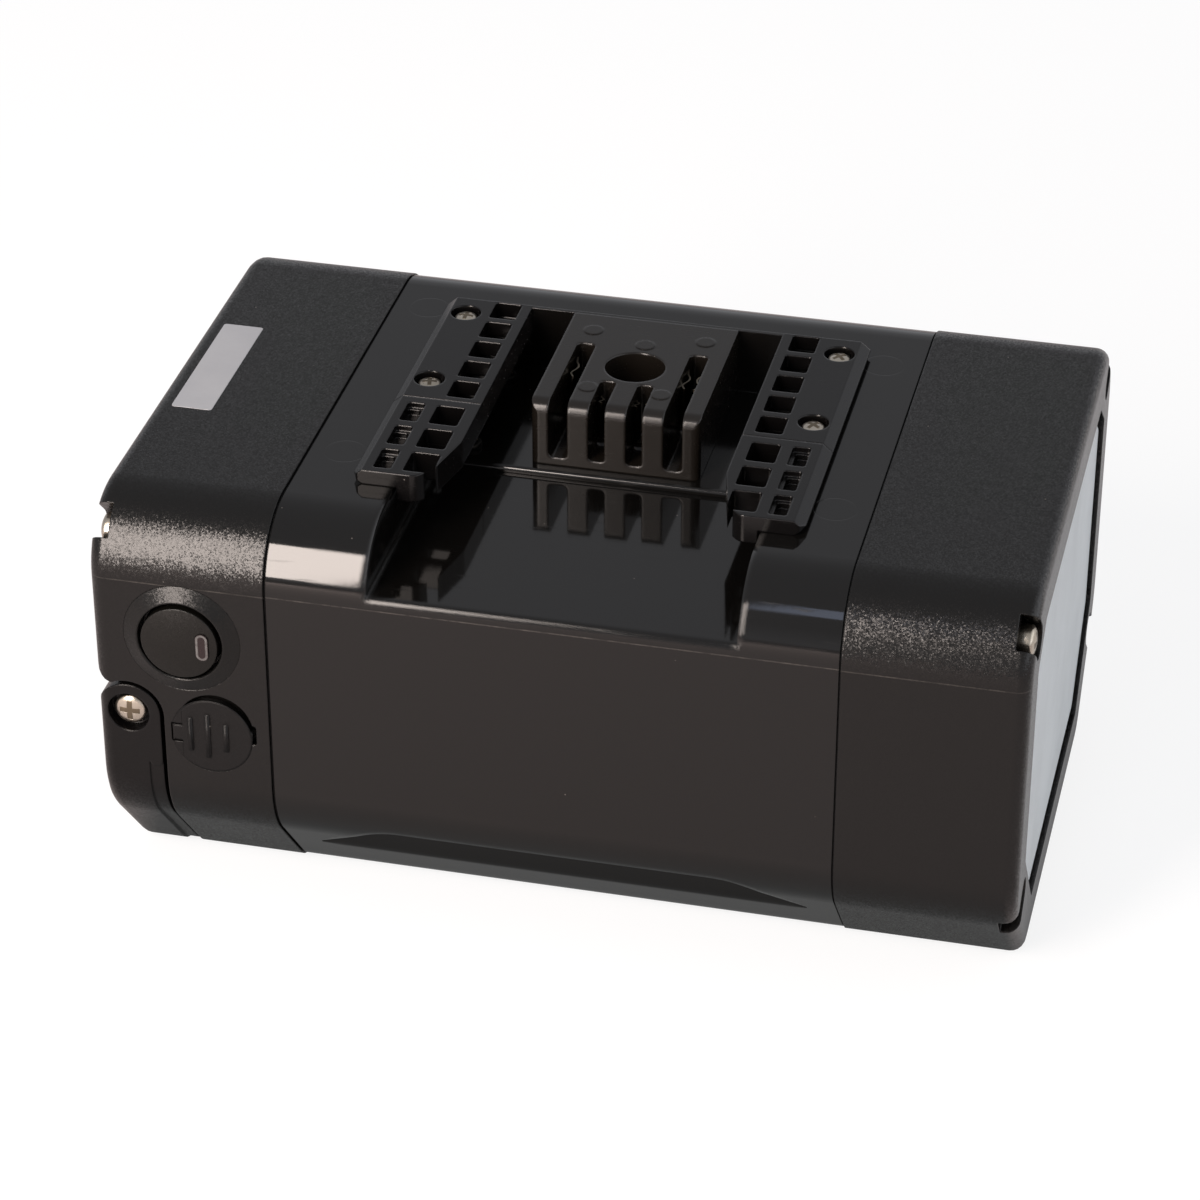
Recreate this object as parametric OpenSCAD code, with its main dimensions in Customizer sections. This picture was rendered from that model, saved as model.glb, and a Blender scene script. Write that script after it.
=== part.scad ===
// Seat tube battery pack for an electric bicycle.
// It lies on its outer face with the mounting face up. X runs from the handle end to the plain
// end, Y from the face with the button to the back, Z up. The origin is under the middle of the
// pack, on the plane it lies on.

/* [Body] */
// Length over both end caps
body_l = 230; // [215:1:245]
// Width from the button face to the back face
body_w = 151; // [145:0.5:165]
// Height over the end caps
body_h = 112.5; // [108:0.5:125]
// Length of the end cap at the handle
left_cap_l = 44.5; // [42:0.5:50]
// Length of the plain end cap
right_cap_l = 45; // [40:0.5:50]
// Wall of the housings
wall = 2.6; // [2:0.1:3.4]
// Radius of the long upper edges
top_edge_r = 19.4; // [17:0.2:22]
// Height at which the lower bevel would start without its bend
chamfer_h = 28.7; // [24:0.1:32]
// Angle of the lower bevel to the side
chamfer_a = 41; // [36:0.5:44]
// Radius of the bend from the side to the bevel
chamfer_bend_r = 24; // [14:0.5:28]
// Radius from the bevel to the base
base_edge_r = 12; // [6:0.5:16]
// Radius of the outer rim of both caps
end_edge_r = 3.6; // [2:0.1:4.5]
// How far the centre shell lies under the caps
shell_step = 0.4; // [0.2:0.05:0.8]
// Gap between cap and shell that the gasket fills
seam_gap = 0.5; // [0.3:0.05:0.9]
// How deep the gasket lies under the surface of the caps
gasket_depth = 1; // [0.7:0.05:1.5]
// Width of the gasket
gasket_w = 1.3; // [0.8:0.05:1.6]

/* [Recess and grip] */
// Width of the recess in the mounting face
recess_w = 90.6; // [86:0.2:94]
// Depth of the recess under the mounting face
recess_depth = 15.5; // [14:0.1:17]
// Radius of the recess's front lip
lip_r = 1.2; // [0.6:0.1:2]
// Length of the grip recess along the lower front edge
grip_l = 128; // [100:1:132]
// Run of the grip recess's slanted ends
grip_taper = 19; // [10:1:30]
// Angle of its inner face to the front face
grip_a = 11; // [6:0.5:14]
// Height of its lower edge
grip_low_z = 14.5; // [13:0.1:16]
// Height of its upper edge
grip_top_z = 27; // [24:0.1:28]

/* [Mounting rails] */
// Length of a rail with its nose
rail_l = 92; // [86:0.5:96]
// Length of the separate nose of a rail
nose_l = 38; // [36:0.5:42]
// Clear width between the rails
rail_gap_w = 66.2; // [62:0.2:68]
// Width of a rail's top
rail_w = 20.2; // [19:0.1:21]
// Height of the rails over the mounting face
rail_h = 3.9; // [3.2:0.1:5]
// How far the pointed edge of a rail stands out
rail_edge = 2.6; // [1.8:0.1:3]
// Height of a rail nose
nose_h = 7.4; // [6:0.1:9]
// Distance from the back face to the back of the rails
rail_back = 31.5; // [29:0.5:34]
// Thickness of the upright walls of a rail
rail_wall = 1.9; // [1.4:0.1:2.3]
// Number of windows in the rear of a rail
rear_windows = 5; // [3:1:5]
// Pitch of the rear windows
rear_window_pitch = 10.7; // [10:0.1:10.8]
// Width of the rear windows
rear_window_w = 7; // [5:0.1:7.6]
// Length of the rear windows
rear_window_l = 8.5; // [6:0.1:9]
// Pitch of the windows in the noses
nose_window_pitch = 11.9; // [11.4:0.1:12.2]
// Length of the windows in the noses
nose_window_l = 9.3; // [7:0.1:9.8]
// Width of the inner row of nose windows
nose_window_w = 7.4; // [5:0.1:7.8]
// Width of the outer row of nose windows
nose_slot_w = 4.6; // [3.4:0.1:5]
// Diameter of the holes over the rail screws
rail_hole_d = 7.9; // [7:0.1:8.4]
// Distance between the two screws of a rail
rail_screw_pitch = 36.2; // [32:0.2:37]
// Distance from the back of a rail to its first screw
rail_screw_inset = 7.8; // [6.5:0.1:9]

/* [Terminal block] */
// Width of the block
block_w = 43.2; // [42:0.2:46]
// Length of the block
block_l = 48.3; // [46:0.1:50]
// Thickness of the plate under the block
plate_t = 1.7; // [1.4:0.1:2.4]
// How far the plate stands out in front of the block
plate_lip = 3.3; // [2:0.1:5]
// Thickness of the wall behind the block
back_wall_t = 1.2; // [0.8:0.1:1.8]
// Radius of the block's front upper edge
block_edge_r = 3.2; // [2:0.1:4]
// Width of the two power slots
power_slot_w = 4.9; // [4.2:0.1:5]
// Width of the two signal slots
signal_slot_w = 4.2; // [3.6:0.1:4.6]
// Distance of the power slots from the middle
power_slot_x = 14.7; // [14:0.1:15]
// Distance of the signal slots from the middle
signal_slot_x = 4.8; // [4.5:0.1:5.5]
// Length of the power slots
power_slot_l = 32.7; // [28:0.1:34]
// Length of the signal slots
signal_slot_l = 14.5; // [12:0.1:14.8]
// Material under the slots
slot_floor = 3.1; // [2.6:0.1:4]
// Diameter of the bore for the lock bolt
lock_bore_d = 15.4; // [14:0.1:15.6]
// Distance of the lock bore from the front of the block
lock_bore_inset = 23; // [22.8:0.1:25]
// Depth of the lock bore
lock_bore_depth = 13; // [9:0.1:14]
// Diameter of the round marks on the block
mark_d = 5; // [4:0.1:5.4]

/* [Handle] */
// Width of the handle along the pack
handle_w = 16.2; // [15:0.1:17]
// Thickness of the handle
handle_t = 11; // [9:0.1:12]
// Height of the pivot screws
pivot_z = 55.3; // [52:0.1:58]
// Gap round the handle
handle_gap = 1.1; // [0.8:0.05:1.4]
// Height at which the bevelled strip of the handle ends
strip_z = 42; // [36:0.5:45]
// Width of the bevelled strip
strip_w = 3.5; // [2.5:0.1:4.5]
// Depth of the bevelled strip
strip_depth = 0.5; // [0.3:0.05:0.8]
// Diameter of the counterbores over the pivot screws
pivot_counterbore_d = 10.8; // [9.6:0.1:11.4]
// Depth of these counterbores
pivot_counterbore_depth = 3.6; // [3.2:0.1:4.2]

/* [Power button] */
// Distance of the button from the seam of the cap
button_inset = 21.4; // [20.5:0.1:21.8]
// Height of the button
button_z = 79; // [76:0.2:80]
// Outer diameter of the bezel
bezel_d = 29.6; // [28:0.1:30]
// Diameter of the bezel's inner rim
bezel_rim_d = 22.4; // [21.5:0.1:23]
// Height of the bezel's inner rim over the face
bezel_rise = 1.7; // [1:0.1:2.2]
// Diameter of the button
button_d = 19.4; // [17:0.1:20]
// How far the button stands out of the face
button_rise = 3.2; // [2.6:0.1:4]
// Travel of the button
button_travel = 1.2; // [0.8:0.1:1.4]
// Width of the light window in the button
window_w = 3.2; // [2.4:0.1:4]
// Height of the light window in the button
window_h = 7.4; // [5:0.1:8]
// Distance of the light window from the button's axis
window_inset = 6; // [5:0.1:6.4]

/* [Charge port] */
// Distance of the port from the seam of the cap
port_inset = 15.1; // [14.8:0.1:15.4]
// Height of the port
port_z = 51.4; // [50:0.1:52.5]
// Diameter of the rubber cover
cover_d = 19.8; // [18:0.1:20.2]
// Thickness of the rubber cover
cover_t = 2.2; // [1.8:0.1:2.6]
// Depth of the recess round the cover
port_depth = 2.3; // [2:0.05:2.8]
// Height of the three grip ridges on the cover
ridge_h = 0.6; // [0.3:0.05:0.9]
// Diameter of the socket's mouth
socket_d = 12; // [11:0.1:13]
// Diameter of the plug hole in the socket
plug_hole_d = 5.6; // [5:0.1:6.4]
// Depth of the plug hole
plug_hole_depth = 9.5; // [8:0.1:11]

/* [Ends and label] */
// Distance from the outline to the recess in the plain end
panel_frame_w = 12.5; // [12:0.1:14]
// Groove between the panel and its frame
panel_groove_w = 3.4; // [2.5:0.1:5]
// Depth of the recess round the panel
panel_recess = 2.4; // [2:0.1:3]
// Thickness of the panel
panel_t = 1.4; // [1:0.1:1.8]
// Distance of the upper end screws from both faces
end_screw_inset = 11.6; // [11:0.1:13]
// Height of the lower end screws
low_screw_z = 27; // [26:0.2:30]
// Distance of the lower screws of the plain end from both faces
right_low_inset = 13.4; // [12.6:0.1:14]
// Distance of the lower screws of the handle end from both faces
left_low_inset = 26.5; // [26:0.1:28]
// Depth of the notches over the end screws
notch_depth = 4.7; // [4.5:0.1:6]
// Diameter of the notches over the end screws
notch_d = 8.8; // [8.6:0.1:10.4]
// Width of the label
label_w = 10.5; // [8:0.1:14]
// Length of the label
label_l = 44.6; // [36:0.2:60]
// Distance of the label from the end face
label_inset = 4.9; // [4:0.1:8]
// Thickness of the label
label_t = 0.15; // [0.1:0.01:0.3]

/* [Screws] */
// Thread diameter of the end and pivot screws
screw_d = 4; // [3.5:0.1:4.2]
// Head diameter of the end and pivot screws
screw_head_d = 7.8; // [7:0.1:8.2]
// Head height of the end and pivot screws
screw_head_h = 2.8; // [2:0.1:3]
// Thread diameter of the small screws
small_screw_d = 3; // [2.5:0.1:3.2]
// Head diameter of the small screws
small_head_d = 5.6; // [5:0.1:6]
// Head height of the small screws
small_head_h = 1.8; // [1.4:0.1:2]

/* [Cells and electronics] */
// Diameter of a cell with its sleeve
cell_d = 18.3; // [18:0.1:18.6]
// Length of a cell
cell_l = 65; // [60:0.5:66]
// Pitch of the cells
cell_pitch = 19.5; // [19.3:0.1:19.7]
// Cells side by side in each row
cell_columns = 7; // [5:1:7]
// Rows of cells in each bank
cell_rows = 3; // [2:1:3]
// Height of the middle of the top row
top_row_z = 80; // [78:0.2:80.4]
// Gap between the two banks of cells
bank_gap = 5; // [4.5:0.1:6]
// Thickness of the cell holders
holder_t = 7; // [5:0.5:8]
// Thickness of the nickel strips
nickel_t = 0.3; // [0.15:0.05:0.4]
// Width of the nickel strips
nickel_w = 8; // [6:0.5:9]
// Length of the protection board
board_l = 108; // [80:1:112]
// Width of the protection board
board_w = 62; // [50:1:66]
// Thickness of the circuit boards
board_t = 1.6; // [1:0.1:2]
// Height of the posts under the protection board
board_post_h = 7; // [5:0.5:9]

/* [Hidden] */
$fn = 64;
end_steps = 5;
overrun = wall * 0.5;

half_w = body_w / 2;
xl = -body_l / 2;
xr = body_l / 2;
seam_l = xl + left_cap_l;
seam_r = xr - right_cap_l;
cap_in_l = seam_l - seam_gap / 2;
cap_in_r = seam_r + seam_gap / 2;
shell_l = seam_l + seam_gap / 2;
shell_r = seam_r - seam_gap / 2;
shell_top = body_h - shell_step;
shell_in = shell_step + wall;
face_y = -half_w;
small_r = wall * 0.3;
hair = wall * 0.0015;

recess_x = recess_w / 2;
recess_z = body_h - shell_step - recess_depth;
rail_back_y = half_w - rail_back;
plate_z = recess_z + plate_t;
deck_z = shell_top + rail_h;
block_back_y = rail_back_y - back_wall_t;
block_front_y = block_back_y - block_l;
plate_front_y = block_front_y - plate_lip;
slot_z = plate_z + slot_floor;
lock_y = block_front_y + lock_bore_inset;

rail_in_x = rail_gap_w / 2;
rail_out_x = rail_in_x + rail_w;
rail_tip_x = rail_out_x + rail_edge;
nose_front_y = rail_back_y - rail_l;
nose_back_y = nose_front_y + nose_l;
rail_screw_x = rail_in_x + rail_w * 0.79;
rail_screw_y = [rail_back_y - rail_screw_inset, rail_back_y - rail_screw_inset - rail_screw_pitch];
rear_window_x = rail_in_x + rail_w * 0.304;
nose_window_x = rail_in_x + rail_w * 0.335;
nose_slot_x = rail_in_x + rail_w * 0.775;
nose_peg_y = nose_front_y + nose_l * 0.66;

pivot_x = xl + handle_w / 2;
strip_x = xl + handle_w - strip_w;
arm_in_y = half_w - handle_t;
zone_in = handle_t + handle_gap;
zone_y = half_w - zone_in;
zone_x = xl + handle_w + handle_gap;
zone_top = pivot_z + handle_w / 2 + handle_gap;
shoulder_r = handle_w * 0.32;

button_x = seam_l - button_inset;
port_x = seam_l - port_inset;
cover_r = cover_d / 2;
hinge_x = port_x - cover_r + cover_t / 2 - small_r * 0.25;
hinge_y = face_y + cover_t / 2;
pad_y = face_y + port_depth + wall;

post_d = notch_d + wall * 1.8;
post_len = left_cap_l * 0.22;
top_screw = [half_w - end_screw_inset, body_h - end_screw_inset];
right_low = [half_w - right_low_inset, low_screw_z];
left_low = [half_w - left_low_inset, low_screw_z];

bezel_gap = button_d * 0.015;
bezel_tube = wall * 3.4;
boot_d = button_d * 0.62;
switch_depth = bezel_tube + wall + button_travel * 3.6;
window_d = window_inset * window_inset / (button_d * 5) - small_r * 0.2;
bush_d = screw_d * 1.75;
bush_play = screw_d * 0.02;

contact_w = signal_slot_w;
tail_d = slot_floor * 0.75;
tail_z = slot_z + power_slot_w * 0.5;

low_row_z = top_row_z - (cell_rows - 1) * cell_pitch;
pack_y = bank_gap / 2 + cell_l;
holder_rim = (cell_pitch - cell_d) * 1.2;
ledge_z = low_row_z - cell_d / 2 - holder_rim;
pack_x = (cell_columns - 1) / 2 * cell_pitch + cell_d / 2 + holder_rim;
sheet_t = nickel_t * 1.6;
board_z = shell_in + board_post_h;
fuse_l = body_w * 0.28;
panel_z = panel_frame_w;
panel_pts = mirrored([[half_w * 0.56, panel_z], [half_w - panel_frame_w - wall * 0.4, low_screw_z * 1.36],
    [half_w - panel_frame_w - wall * 0.4, top_screw[1] - end_screw_inset * 0.8],
    [half_w - panel_frame_w - end_screw_inset, body_h - panel_frame_w]]);

colour_cap = [0.10, 0.10, 0.10];
colour_shell = [0.05, 0.05, 0.05];
colour_dark = [0.08, 0.08, 0.09];
colour_rubber = [0.13, 0.13, 0.13];
colour_steel = [0.72, 0.72, 0.70];
colour_panel = [0.75, 0.77, 0.80];
colour_label = [0.66, 0.68, 0.71];
colour_copper = [0.80, 0.62, 0.30];
colour_board = [0.10, 0.30, 0.16];
colour_cell = [0.20, 0.42, 0.62];
colour_holder = [0.16, 0.16, 0.17];
colour_sheet = [0.86, 0.84, 0.76];

function unit(v) = v / norm(v);
function before(p, i) = unit(p[(i + len(p) - 1) % len(p)] - p[i]);
function after(p, i) = unit(p[(i + 1) % len(p)] - p[i]);
function half_angle(p, i) = acos(before(p, i) * after(p, i)) / 2;
function inward(p, i) = unit(before(p, i) + after(p, i));
function inset(p, d) = [for (i = [0:len(p) - 1]) p[i] + inward(p, i) * d / sin(half_angle(p, i))];
function mirrored(p) = concat(p, [for (i = [len(p) - 1:-1:0]) [-p[i][0], p[i][1]]]);

// Corners of the section before they are rounded, with the radius of each
base_half = half_w - chamfer_h * tan(chamfer_a);
foot_y = base_half - base_edge_r * tan((90 - chamfer_a) / 2);
section_pts = mirrored([[base_half, 0], [half_w, chamfer_h], [half_w, body_h]]);
section_rs = [base_edge_r, chamfer_bend_r, top_edge_r, top_edge_r, chamfer_bend_r, base_edge_r];

// Convex outline with each corner rounded by its own radius; the straight sides lie a hair's
// breadth inside the rounds, so that each side crosses its round instead of grazing it
module rounded(p, r) {
    q = inset(p, hair);
    polygon([for (i = [0:len(p) - 1]) for (s = [0, 1])
        q[i] + (s == 0 ? before(p, i) : after(p, i)) * r[i] / tan(half_angle(p, i))]);
    for (i = [0:len(p) - 1])
        translate(p[i] + inward(p, i) * r[i] / sin(half_angle(p, i))) circle(r[i]);
}

// The pack's outline in Y and Z, moved inwards by d
module section(d) {
    rounded(inset(section_pts, d), [for (r = section_rs) max(r - d, small_r)]);
}

module rect(x0, x1, y0, y1) { translate([x0, y0]) square([x1 - x0, y1 - y0]); }

module rounded_rect(x0, x1, y0, y1, r) {
    rounded([[x0, y0], [x1, y0], [x1, y1], [x0, y1]], [r, r, r, r]);
}

// Solids drawn in one plane and drawn out along the third direction
module along_x(x0, x1) { translate([x0, 0, 0]) rotate([90, 0, 90]) linear_extrude(x1 - x0) children(); }
module along_y(y0, y1) { translate([0, y1, 0]) rotate([90, 0, 0]) linear_extrude(y1 - y0) children(); }
module along_z(z0, z1) { translate([0, 0, z0]) linear_extrude(z1 - z0) children(); }
module block(x0, x1, y0, y1, z0, z1) { translate([x0, y0, z0]) cube([x1 - x0, y1 - y0, z1 - z0]); }
module rod_x(x0, x1, y, z, d) { translate([x0, y, z]) rotate([0, 90, 0]) cylinder(h = x1 - x0, d = d); }
module rod_y(x, y0, y1, z, d) { translate([x, y1, z]) rotate([90, 0, 0]) cylinder(h = y1 - y0, d = d); }
module rod_z(x, y, z0, z1, d) { translate([x, y, z0]) cylinder(h = z1 - z0, d = d); }
module both_x() { children(); mirror([1, 0, 0]) children(); }
module both_y() { children(); mirror([0, 1, 0]) children(); }

// Faces of a body through n rings of k points each
function ring_faces(n, k) = concat([[for (j = [0:k - 1]) j]], [[for (j = [k - 1:-1:0]) (n - 1) * k + j]],
    [for (i = [0:n - 2]) for (j = [0:k - 1]) for (h = [0, 1]) h == 0
        ? [i * k + j, (i + 1) * k + j, i * k + (j + 1) % k]
        : [i * k + (j + 1) % k, (i + 1) * k + j, (i + 1) * k + (j + 1) % k]]);

// Points of the section's outline at x, moved inwards by d
corner_from = [-90, -chamfer_a, 0, 90, 180, 180 + chamfer_a];
corner_to = [-chamfer_a, 0, 90, 180, 180 + chamfer_a, 270];
corner_steps = [6, 6, 18, 18, 6, 6];
function corner_mid(i) = section_pts[i]
    + inward(section_pts, i) * section_rs[i] / sin(half_angle(section_pts, i));
function ring(x, d) = [for (i = [0:len(section_pts) - 1]) for (j = [0:corner_steps[i]]) let (
    t = corner_from[i] + (corner_to[i] - corner_from[i]) * j / corner_steps[i], c = corner_mid(i))
    [x, c[0] + (section_rs[i] - d) * cos(t), c[1] + (section_rs[i] - d) * sin(t)]];

// Outer shape of an end cap from its seam to its rounded rim; dir is -1 for the handle end
module cap_blank(seam_x, end_x, dir) {
    rims = [for (k = [0:end_steps]) ring(end_x - dir * end_edge_r * (1 - sin(90 * k / end_steps)),
        end_edge_r * (1 - cos(90 * k / end_steps)))];
    rings = dir > 0 ? concat([ring(seam_x, 0)], rims)
        : concat([for (k = [end_steps:-1:0]) rims[k]], [ring(seam_x, 0)]);
    polyhedron([for (r = rings) each r], ring_faces(len(rings), len(rings[0])));
}

// Space round the handle: its band of the section, up to the round above the pivot
module handle_zone(grow) {
    difference() {
        intersection() {
            along_x(xl - overrun, zone_x + grow) difference() {
                rect(-half_w - overrun, half_w + overrun, -overrun, body_h + overrun);
                section(zone_in + grow);
            }
            along_y(-half_w - overrun, half_w + overrun) {
                translate([pivot_x, pivot_z]) circle(handle_w / 2 + handle_gap + grow);
                rect(xl - overrun, zone_x + grow, -overrun, pivot_z);
                if (grow > 0) rect(xl, zone_x, pivot_z, zone_top + shoulder_r + grow);
                else difference() {
                    rect(xl - overrun, xl + shoulder_r, pivot_z, zone_top + shoulder_r * 0.8);
                    translate([xl + shoulder_r, zone_top + shoulder_r * 0.8]) circle(shoulder_r);
                    rect(xl + shoulder_r * 0.7, xl + shoulder_r, zone_top - small_r * 0.2, zone_top + shoulder_r);
                }
            }
        }
    }
}

// Round post for an end screw, tied to the wall by a web towards angle a
module post_2d(p, a, d) {
    intersection() {
        union() {
            translate(p) circle(d = d);
            translate(p) rotate(a) translate([0, -d / 5]) square([half_w, d * 2 / 5]);
        }
        section(shell_step + wall / 2);
    }
}

// Notch over an end screw, open to the outside
module notch_2d(p, a) {
    translate(p) circle(d = notch_d);
    translate(p) rotate(a) translate([0, hair - notch_d / 2]) square([half_w, notch_d - 2 * hair]);
}

module port_recess() {
    along_y(face_y - overrun, face_y + port_depth) {
        translate([port_x, port_z]) circle(cover_r + cover_t * 0.18);
        rounded_rect(hinge_x - cover_t * 0.64, port_x, port_z - cover_r * 0.3, port_z + cover_r * 0.3, small_r);
        rounded_rect(port_x, port_x + cover_r * 1.17, port_z - cover_r * 0.1, port_z + cover_r * 0.46, small_r);
    }
    translate([port_x + cover_t * 0.5, face_y - overrun, port_z + cover_t * 1.1]) rotate([-90, 0, 0])
        cylinder(h = port_depth + overrun, r1 = cover_r * 1.08, r2 = cover_r * 0.82);
}

module left_end_cap() color(colour_cap) {
    difference() {
        cap_blank(cap_in_l, xl, -1);
        difference() {
            along_x(xl + wall, seam_l + overrun) section(wall);
            handle_zone(wall);
            both_y() rod_y(pivot_x, 0, zone_y, pivot_z, post_d * 0.8);
            rod_y(port_x, face_y, pad_y, port_z, cover_d + wall * 2);
            rod_y(button_x, face_y, face_y + wall * 1.4, button_z, bezel_d + wall);
            both_y() along_x(xl, cap_in_l) {
                post_2d(top_screw, 45, post_d);
                post_2d(left_low, -chamfer_a, post_d * 0.75);
            }
        }
        handle_zone(0);
        both_y() rod_y(pivot_x, zone_y - post_d * 0.7, half_w, pivot_z, screw_d);
        both_y() {
            along_x(xl - overrun, xl + notch_depth) notch_2d(top_screw, 45);
            rod_x(xl - overrun, xl + notch_depth, left_low[0], left_low[1], notch_d * 0.94);
            rod_x(xl, seam_l, top_screw[0], top_screw[1], screw_d);
            rod_x(xl, seam_l, left_low[0], left_low[1], screw_d);
        }
        rod_y(button_x, face_y - overrun, face_y + wall * 0.4, button_z, bezel_d);
        rod_y(button_x, face_y, face_y + switch_depth, button_z, bezel_rim_d + wall * 0.6);
        port_recess();
        rod_y(port_x, face_y, pad_y + overrun, port_z, socket_d);
        rod_y(port_x, face_y, face_y + port_depth + wall * 0.4, port_z, socket_d + wall);
        rod_z(hinge_x, hinge_y, port_z - cover_r * 0.8, port_z + cover_r * 0.9, cover_t * 0.45);
        block(xl + label_inset, xl + label_inset + label_w, -label_l / 2, label_l / 2,
            body_h - label_t, body_h + overrun);
    }
}

module gasket(seam_x) {
    along_x(seam_x - seam_gap / 2, seam_x + seam_gap / 2) difference() {
        section(gasket_depth);
        section(gasket_depth + gasket_w);
    }
}

module left_gasket() color(colour_rubber) gasket(seam_l);

module right_gasket() color(colour_rubber) gasket(seam_r);

// Section of the grip recess, moved inwards by d
module grip_2d(d) {
    run = (grip_top_z - grip_low_z) * tan(grip_a);
    low_y = half_w - shell_step - (chamfer_h - grip_low_z) * tan(chamfer_a);
    polygon([[-half_w * 2, grip_low_z - d], [-low_y + d, grip_low_z - d],
        [-low_y - run + d, grip_top_z - wall * 0.4 + d], [-low_y - run - wall * 0.3, grip_top_z + d],
        [-half_w * 2, grip_top_z + d]]);
}

module grip(d) {
    intersection() {
        along_x(-grip_l / 2 - d, grip_l / 2 + d) grip_2d(d);
        along_y(-half_w * 2, 0) rounded([[-grip_l / 2 - d, grip_low_z - d], [grip_l / 2 + d, grip_low_z - d],
            [grip_l / 2 - grip_taper + d, grip_top_z + d], [-grip_l / 2 + grip_taper - d, grip_top_z + d]],
            [small_r, small_r, grip_taper, grip_taper]);
    }
}

module centre_shell() color(colour_shell) {
    lip_y = -half_w + shell_step + lip_r + small_r * 0.2;
    difference() {
        along_x(shell_l, shell_r) {
            section(shell_step);
            rect(-foot_y, foot_y, 0, shell_step * 2);
        }
        difference() {
            along_x(shell_l - overrun, shell_r + overrun) section(shell_in);
            block(-recess_x - wall, recess_x + wall, -body_w, rail_back_y + wall, recess_z - wall, body_h);
            grip(wall);
            both_y() along_x(shell_l, shell_r) intersection() {
                section(shell_step + wall / 2);
                rect(half_w * 0.78, half_w, ledge_z - wall, ledge_z);
            }
            both_y() along_x(shell_l, shell_l + post_len) {
                post_2d(top_screw, 45, post_d);
                post_2d(left_low, -chamfer_a, post_d * 0.75);
            }
            both_y() along_x(shell_r - post_len, shell_r) {
                post_2d(top_screw, 45, post_d);
                post_2d(right_low, -chamfer_a, post_d);
            }
            both_x() for (y = concat(rail_screw_y, [nose_peg_y]))
                rod_z(rail_screw_x, y, shell_top - small_screw_d * 2.4, shell_top, small_screw_d * 2.4);
            for (x = [-1, 1], y = [-1, 1])
                rod_z(x * board_l * 0.46, y * board_w * 0.43, 0, board_z, small_screw_d * 2);
        }
        block(-recess_x, recess_x, -body_w, rail_back_y, recess_z, body_h + overrun);
        along_x(-recess_x, recess_x) difference() {
            rect(-body_w, lip_y, recess_z - lip_r, recess_z + lip_r);
            translate([lip_y, recess_z - lip_r]) circle(lip_r);
            rect(-half_w + shell_step, half_w, 0, recess_z - lip_r);
        }
        grip(0);
        both_y() {
            rod_x(shell_l - overrun, shell_l + post_len - wall, top_screw[0], top_screw[1], screw_d);
            rod_x(shell_l - overrun, shell_l + post_len - wall, left_low[0], left_low[1], screw_d);
            rod_x(shell_r - post_len + wall, shell_r + overrun, top_screw[0], top_screw[1], screw_d);
            rod_x(shell_r - post_len + wall, shell_r + overrun, right_low[0], right_low[1], screw_d);
        }
        both_x() for (y = concat(rail_screw_y, [nose_peg_y]))
            rod_z(rail_screw_x, y, shell_top - small_screw_d * 2, shell_top + overrun, small_screw_d);
        for (x = [-1, 1]) rod_y(x * power_slot_x, rail_back_y - overrun, rail_back_y + wall + overrun,
            tail_z, tail_d);
        for (x = [-1, 1], y = [-1, 1])
            rod_z(x * board_l * 0.46, y * board_w * 0.43, wall, board_z, small_screw_d);
        for (x = [-1, 1], y = [-1, 1])
            rod_z(x * recess_x * 0.85, block_front_y + block_l * (y > 0 ? 0.85 : 0.1), recess_z - wall - overrun,
                recess_z + overrun, small_screw_d);
    }
}

module panel_outline(d) {
    rounded(inset(panel_pts, d), [for (p = panel_pts) small_r * 3]);
}

module right_end_cap() color(colour_cap) {
    difference() {
        cap_blank(cap_in_r, xr, 1);
        difference() {
            along_x(seam_r - overrun, xr - panel_recess - wall) section(wall);
            both_y() along_x(cap_in_r, xr) {
                post_2d(top_screw, 45, post_d);
                post_2d(right_low, -chamfer_a, post_d);
            }
            for (y = [-1, 1]) rod_z(xr - right_cap_l * 0.5, y * fuse_l * 0.3, 0, wall * 2, small_screw_d * 2);
        }
        along_x(xr - panel_recess, xr + overrun) panel_outline(0);
        both_y() {
            along_x(xr - notch_depth, xr + overrun) {
                notch_2d(top_screw, 45);
                notch_2d(right_low, -chamfer_a);
            }
            rod_x(seam_r, xr, top_screw[0], top_screw[1], screw_d);
            rod_x(seam_r, xr, right_low[0], right_low[1], screw_d);
        }
        along_x(xr - wall, xr + overrun) rect(-notch_d / 2, notch_d / 2, -overrun, wall * 0.4);
        for (y = [-1, 1])
            rod_z(xr - right_cap_l * 0.5, y * fuse_l * 0.3, wall, wall * 2 + overrun, small_screw_d * 0.8);
    }
}

module right_end_panel() color(colour_panel)
    along_x(xr - panel_recess, xr - panel_recess + panel_t) panel_outline(panel_groove_w);

module rating_label() color(colour_label)
    along_z(body_h - label_t, body_h + label_t * 0.4)
        rounded_rect(xl + label_inset, xl + label_inset + label_w, -label_l / 2, label_l / 2, small_r);

// Screw along X; dir is the side its head faces
module end_screw(end_x, dir, p, tip_x) {
    seat_x = end_x - dir * notch_depth;
    rod_x(min(seat_x, tip_x), max(seat_x, tip_x), p[0], p[1], screw_d);
    difference() {
        rod_x(min(seat_x, seat_x + dir * screw_head_h), max(seat_x, seat_x + dir * screw_head_h),
            p[0], p[1], screw_head_d);
        translate([seat_x + dir * screw_head_h, p[0], p[1]]) rotate([45, 0, 0])
            for (a = [0, 90]) rotate([a, 0, 0])
                cube([screw_head_h * 1.2, screw_head_d * 0.55, screw_head_d * 0.15], center = true);
    }
}

module left_end_screws() color(colour_steel)
    for (s = [-1, 1], p = [top_screw, left_low])
        end_screw(xl, -1, [s * p[0], p[1]], shell_l + post_len - wall);

module right_end_screws() color(colour_steel)
    for (s = [-1, 1], p = [top_screw, right_low])
        end_screw(xr, 1, [s * p[0], p[1]], shell_r - post_len + wall);

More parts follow.
